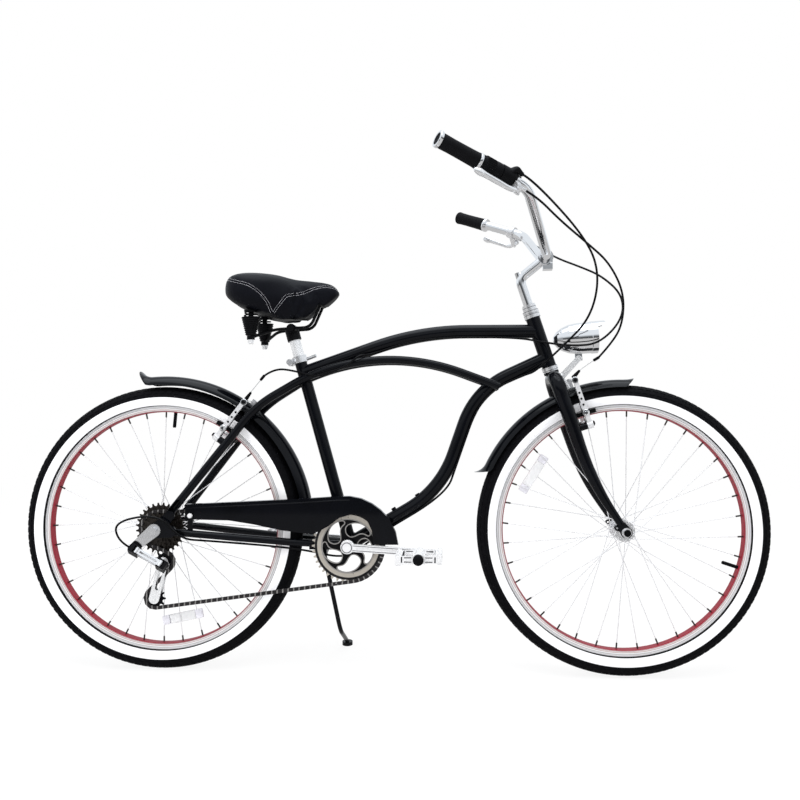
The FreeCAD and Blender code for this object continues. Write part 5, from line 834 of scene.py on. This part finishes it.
def twist_grip():
    """The shifter's sleeve, with a rib on every third step round its middle."""
    where = along(*bar_line(-1))
    bm = spun(TWIST, where, TWIST_STEPS)
    back = where.inverted()
    for vert in bm.verts:
        local = back @ vert.co
        reach = math.hypot(local.x, local.y)
        step = round(math.atan2(local.y, local.x) / (2 * math.pi / TWIST_STEPS))
        if 105 < local.z < 127 and reach > 15 and step % 3 == 0:
            local.x *= 1 + RIB_PROUD / reach
            local.y *= 1 + RIB_PROUD / reach
            vert.co = where @ local
    piece("twist_grip_ribbed", bm, black_plastic, body="shifter", replaces=("shifter_grip",),
          crease=50.0)


grip("right", -1)
grip("left", 1)
start, way = bar_line(-1)
piece("grip_end_plug", spun(END_PLUG, along(start, way), 40, ring=False), black_plastic,
      body="steering")
twist_grip()
piece("shifter_nose", spun(NOSE, along(start + NOSE_LIFT, way), 56), black_plastic,
      body="steering")

# Pedal caps, chainring lips, chain guard bolt, lamp reflector and bulb

PEDAL_CAP = [(0.0, 12.2), (5.0, 12.0), (9.0, 11.0), (11.2, 9.0), (11.6, 6.0), (11.6, -2.0), (0.0, -2.0)]
PEDAL_OUT = 164.0
LIP_WIDE, LIP_PROUD = 0.0022, 0.0004
LIP_FROM, LIP_TO = 0.019, 0.0665
GUARD_BOLT = [(0.0, 3.2), (3.4, 3.0), (5.2, 1.8), (5.6, 0.0), (5.6, -3.0), (0.0, -3.0)]
GUARD_BOLT_AT = (78.3, -58.8, 362.4)
LAMP = Vector((962.0, 0, 768.0))
LAMP_WAY = Vector((math.cos(math.radians(4)), 0, math.sin(math.radians(4))))
BOWL = [(5.0, 4), (9.0, 5), (16.0, 10), (23.0, 18), (29.0, 28), (33.2, 37), (33.8, 37), (29.5, 27),
        (23.0, 16.5), (16.0, 8.6), (5.0, 2.6)]
BULB = [(0.0, 23), (2.4, 22.4), (4.4, 20), (5.0, 16.5), (4.2, 12.5), (3.4, 9), (4.6, 7), (4.6, 1), (0.0, 1)]


def chainring_lips():
    """A raised pale lip along the edge of each cut-out in the outer face of the chainring's disc."""
    disc = bmesh.new()
    disc.from_mesh(nodes["chainring_spider"].data)
    bmesh.ops.remove_doubles(disc, verts=disc.verts, dist=1e-6)
    disc.normal_update()
    outward, hub_at = lean((0, -1, 0)), stand(BB)

    def height(spot):
        return (spot - hub_at).dot(outward)

    def in_reach(spot):
        return LIP_FROM < (spot - hub_at).cross(outward).length < LIP_TO

    levels = {}
    for face in disc.faces:
        spot = face.calc_center_median()
        if face.normal.dot(outward) > 0.98 and in_reach(spot):
            level = round(height(spot), 4)
            levels[level] = levels.get(level, 0.0) + face.calc_area()
    face_level = max(levels, key=levels.get)
    walls, brinks = {}, []
    for edge in disc.edges:
        middle = (edge.verts[0].co + edge.verts[1].co) / 2
        steep = [f for f in edge.link_faces if abs(f.normal.dot(outward)) < 0.3]
        flat = [f for f in edge.link_faces if f.normal.dot(outward) > 0.98]
        if steep and flat and abs(height(middle) - face_level) < 0.0004 and in_reach(middle):
            brinks.append(edge.verts[:])
            for vert in edge.verts:
                walls[vert] = walls.get(vert, Vector()) + steep[0].normal
    lips = bmesh.new()
    inner = {vert: lips.verts.new(vert.co + outward * LIP_PROUD) for vert in walls}
    outer = {vert: lips.verts.new(vert.co + outward * LIP_PROUD - wall.normalized() * LIP_WIDE)
             for vert, wall in walls.items()}
    strips = [lips.faces.new((inner[a], inner[b], outer[b], outer[a])) for a, b in brinks]
    bmesh.ops.recalc_face_normals(lips, faces=strips)
    bmesh.ops.solidify(lips, geom=strips, thickness=LIP_PROUD)
    disc.free()
    piece("chainring_lips", lips, lip_steel, body="crankset", crease=40.0)


for word, side in (("right", -1), ("left", 1)):
    tip = BB - CRANK * side
    cap_at = along(Vector((tip.x, side * PEDAL_OUT, tip.z)), (0, side, 0))
    piece("pedal_cap_" + word, spun(PEDAL_CAP, cap_at, 40, ring=False), black_plastic,
          body="pedal_" + word)
chainring_lips()
guard_bolt = spun(GUARD_BOLT, along(GUARD_BOLT_AT, (0, -1, 0)), 32, ring=False)
piece("guard_bolt_cap", guard_bolt, white_plastic, body="frame")
piece("lamp_reflector", spun(BOWL, along(LAMP, LAMP_WAY), 56), chrome, body="lamp")
piece("lamp_bulb", spun(BULB, along(LAMP, LAMP_WAY), 32, ring=False), glass, body="lamp")

# Saddle springs: a ribbed cone, a narrow coil above it and a hat

SPRING_FOOT = Vector((222, 70, 774))
CONE, NECK = 42.0, 13.0
SPRING_TOP = CONE + NECK
SPRING_WIRE = 1.7
SPRING_CORE = [(0.0, 0.0), (10.4, 0.0), (20.4, CONE), (6.0, CONE + 1), (6.0, SPRING_TOP), (0.0, SPRING_TOP)]
SPRING_HAT = [(0.0, SPRING_TOP + 3.4), (15.0, SPRING_TOP + 3.4), (15.6, SPRING_TOP + 2.4), (15.6, SPRING_TOP),
              (9.0, SPRING_TOP - 0.6), (0.0, SPRING_TOP - 0.6)]
SPRING_NUT = [(0.0, -19), (5.6, -19), (7.0, -18), (7.6, -16), (7.6, -8.9), (0.0, -8.9)]


def coil(turns, height, low, high, foot):
    """A round wire wound upward from one radius to another."""
    bm = bmesh.new()
    start = Matrix.Translation((low, 0, 0)) @ Matrix.Rotation(math.pi / 2, 4, "X")
    bmesh.ops.create_circle(bm, segments=10, radius=SPRING_WIRE, matrix=start)
    steps = turns * 22
    bmesh.ops.spin(bm, geom=bm.verts[:] + bm.edges[:], cent=(0, 0, 0), axis=(0, 0, 1),
                   dvec=(0, 0, height / steps), angle=2 * math.pi * turns, steps=steps, use_merge=False)
    bmesh.ops.holes_fill(bm, edges=[e for e in bm.edges if e.is_boundary], sides=0)
    for vert in bm.verts:
        reach = math.hypot(vert.co.x, vert.co.y)
        grow = 1 + (high - low) * min(max(vert.co.z / height, 0.0), 1.0) / reach
        vert.co.x *= grow
        vert.co.y *= grow
    bm.transform(UPRIGHT @ Matrix.Translation(foot))
    return bm


shells, nuts = [], []
for side in (1, -1):
    foot = Vector((SPRING_FOOT.x, SPRING_FOOT.y * side, SPRING_FOOT.z))
    upward = along(foot, (0, 0, 1))
    shells += [coil(9, CONE, 10.2, 20.2, foot), coil(2, NECK, 15.0, 13.0, foot + Vector((0, 0, CONE))),
               spun(SPRING_CORE, upward, 32, ring=False), spun(SPRING_HAT, upward, 40, ring=False)]
    nuts.append(spun(SPRING_NUT, upward, 6, ring=False))
springs = piece("conical_springs", join(shells), spring_black, replaces=("saddle_springs",),
                crease=45.0)
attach(springs, "seatpost")
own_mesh(springs)
piece("spring_nuts", join(nuts), pale_metal, body="seatpost", crease=25.0)

# Saddle: padded leather swollen by cloth pressure, then sewn

PADDING_DEPTH = 0.003
VOXEL = 0.0045
SWELL_LIMIT = 0.005
STITCH_STEP, STITCH_APART, STITCH_PROUD = 0.0017, 0.0027, 0.00018
STITCH_SIZE = (0.00042, 0.00034, 0.0011)
SEAM_DEPTH, SEAM_WIDE = 0.0009, 0.0016
rear_seam = [(156, 0, 905), (159, -35, 904), (167, -68, 902), (185, -101, 897), (202, -109, 892),
             (223, -110, 887), (242, -106, 876), (252, -101, 867), (261, -95, 855), (267, -90, 845),
             (272, -82, 829), (274, -78, 818)]
front_seam = [(279, -76, 818), (284, -76, 829), (289, -72, 843), (294, -66, 857), (303, -60, 867),
              (315, -54, 870), (327, -48, 872), (340, -41, 878), (353, -35, 885), (366, -31, 891),
              (380, -28, 894), (394, -24, 895), (404, -18, 892), (410, -10, 887), (412, 0, 884)]


def cushion_core():
    """The cushion a little smaller than the finished saddle, as an even mesh."""
    bm = bmesh.new()
    bm.from_mesh(nodes["saddle_cover"].data)
    bmesh.ops.remove_doubles(bm, verts=bm.verts, dist=1e-5)
    bm.normal_update()
    for vert in bm.verts:
        vert.co -= vert.normal * PADDING_DEPTH
    mesh = bpy.data.meshes.new("saddle_leather")
    bm.to_mesh(mesh)
    bm.free()
    saddle = bpy.data.objects.new("saddle_leather", mesh)
    scene.collection.objects.link(saddle)
    remesh = saddle.modifiers.new("even", "REMESH")
    remesh.mode = "VOXEL"
    remesh.voxel_size = VOXEL
    even = baked(saddle)
    saddle.modifiers.clear()
    saddle.data = even
    bm = bmesh.new()
    bm.from_mesh(even)
    for k in range(4):
        bmesh.ops.smooth_vert(bm, verts=bm.verts, factor=0.5, use_axis_x=True, use_axis_y=True,
                              use_axis_z=True)
    bm.to_mesh(even)
    bm.free()
    return saddle


def swell(saddle):
    """Cloth pressure fills the leather out, up to a limit."""
    even = saddle.data
    start_shape = [v.co.copy() for v in even.vertices]
    cloth = saddle.modifiers.new("padding", "CLOTH")
    cloth.settings.quality = 6
    cloth.settings.mass = 0.25
    cloth.settings.tension_stiffness = 18.0
    cloth.settings.compression_stiffness = 18.0
    cloth.settings.bending_stiffness = 1.5
    cloth.settings.use_pressure = True
    cloth.settings.uniform_pressure_force = 4.0
    cloth.settings.effector_weights.gravity = 0.0
    for step in range(1, 21):
        scene.frame_set(step)
    swollen = baked(saddle)
    saddle.modifiers.clear()
    scene.frame_set(1)
    for vert, before, after in zip(even.vertices, start_shape, swollen.vertices):
        move = after.co - before
        vert.co = before + move * min(1.0, SWELL_LIMIT / max(move.length, 1e-9))
    bpy.data.meshes.remove(swollen)


def refine(saddle):
    finer = saddle.modifiers.new("finer", "SUBSURF")
    finer.levels = 1
    finer.render_levels = 1
    fine = baked(saddle)
    saddle.modifiers.clear()
    saddle.data = fine
    for polygon in fine.polygons:
        polygon.use_smooth = True


def even_spots(route):
    """Points along a route, one stitch step apart."""
    line = line_mesh(route)
    corners = [v.co.copy() for v in line.vertices]
    bpy.data.meshes.remove(line)
    spots, carried = [], 0.0
    for a, b in zip(corners, corners[1:]):
        length = (b - a).length
        while carried < length:
            spots.append(a.lerp(b, carried / length))
            carried += STITCH_STEP
        carried -= length
    return spots


def sew(saddle):
    """Two rows of stitches beside each seam, which draws the leather in."""
    fine = saddle.data
    skin = BVHTree.FromPolygons([v.co for v in fine.vertices], [p.vertices for p in fine.polygons])
    seam_points, stitches = [], bmesh.new()
    for route, side in ((r, s) for r in (rear_seam, front_seam) for s in (1, -1)):
        laid = [skin.find_nearest(spot)[:2] for spot in even_spots([(x, y * side, z) for x, y, z in route])]
        seam_points += [spot for spot, normal in laid]
        for k in range(1, len(laid) - 1, 2):
            spot, normal = laid[k]
            run = (laid[k + 1][0] - laid[k - 1][0]).normalized()
            out = (normal - run * normal.dot(run)).normalized()
            across = run.cross(out)
            turned = Matrix((across, out, run)).transposed().to_4x4()
            for shift in (STITCH_APART, -STITCH_APART):
                at, proud_way = skin.find_nearest(spot + across * shift)[:2]
                turned.translation = at + proud_way * STITCH_PROUD
                bmesh.ops.create_icosphere(stitches, subdivisions=1, radius=1.0,
                                           matrix=turned @ Matrix.Diagonal((*STITCH_SIZE, 1.0)))
    seams = KDTree(len(seam_points))
    for k, spot in enumerate(seam_points):
        seams.insert(spot, k)
    seams.balance()
    normals = [v.normal.copy() for v in fine.vertices]
    for vert, normal in zip(fine.vertices, normals):
        far = seams.find(vert.co)[2]
        vert.co -= normal * SEAM_DEPTH * math.exp(-((far / SEAM_WIDE) ** 2))
    return stitches


saddle = cushion_core()
swell(saddle)
refine(saddle)
stitches = sew(saddle)
saddle.data.materials.clear()
saddle.data.materials.append(leather_material("black_leather"))
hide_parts("saddle_cover")
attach(saddle, "saddle")
piece("saddle_stitches", stitches, thread_white, body="saddle")
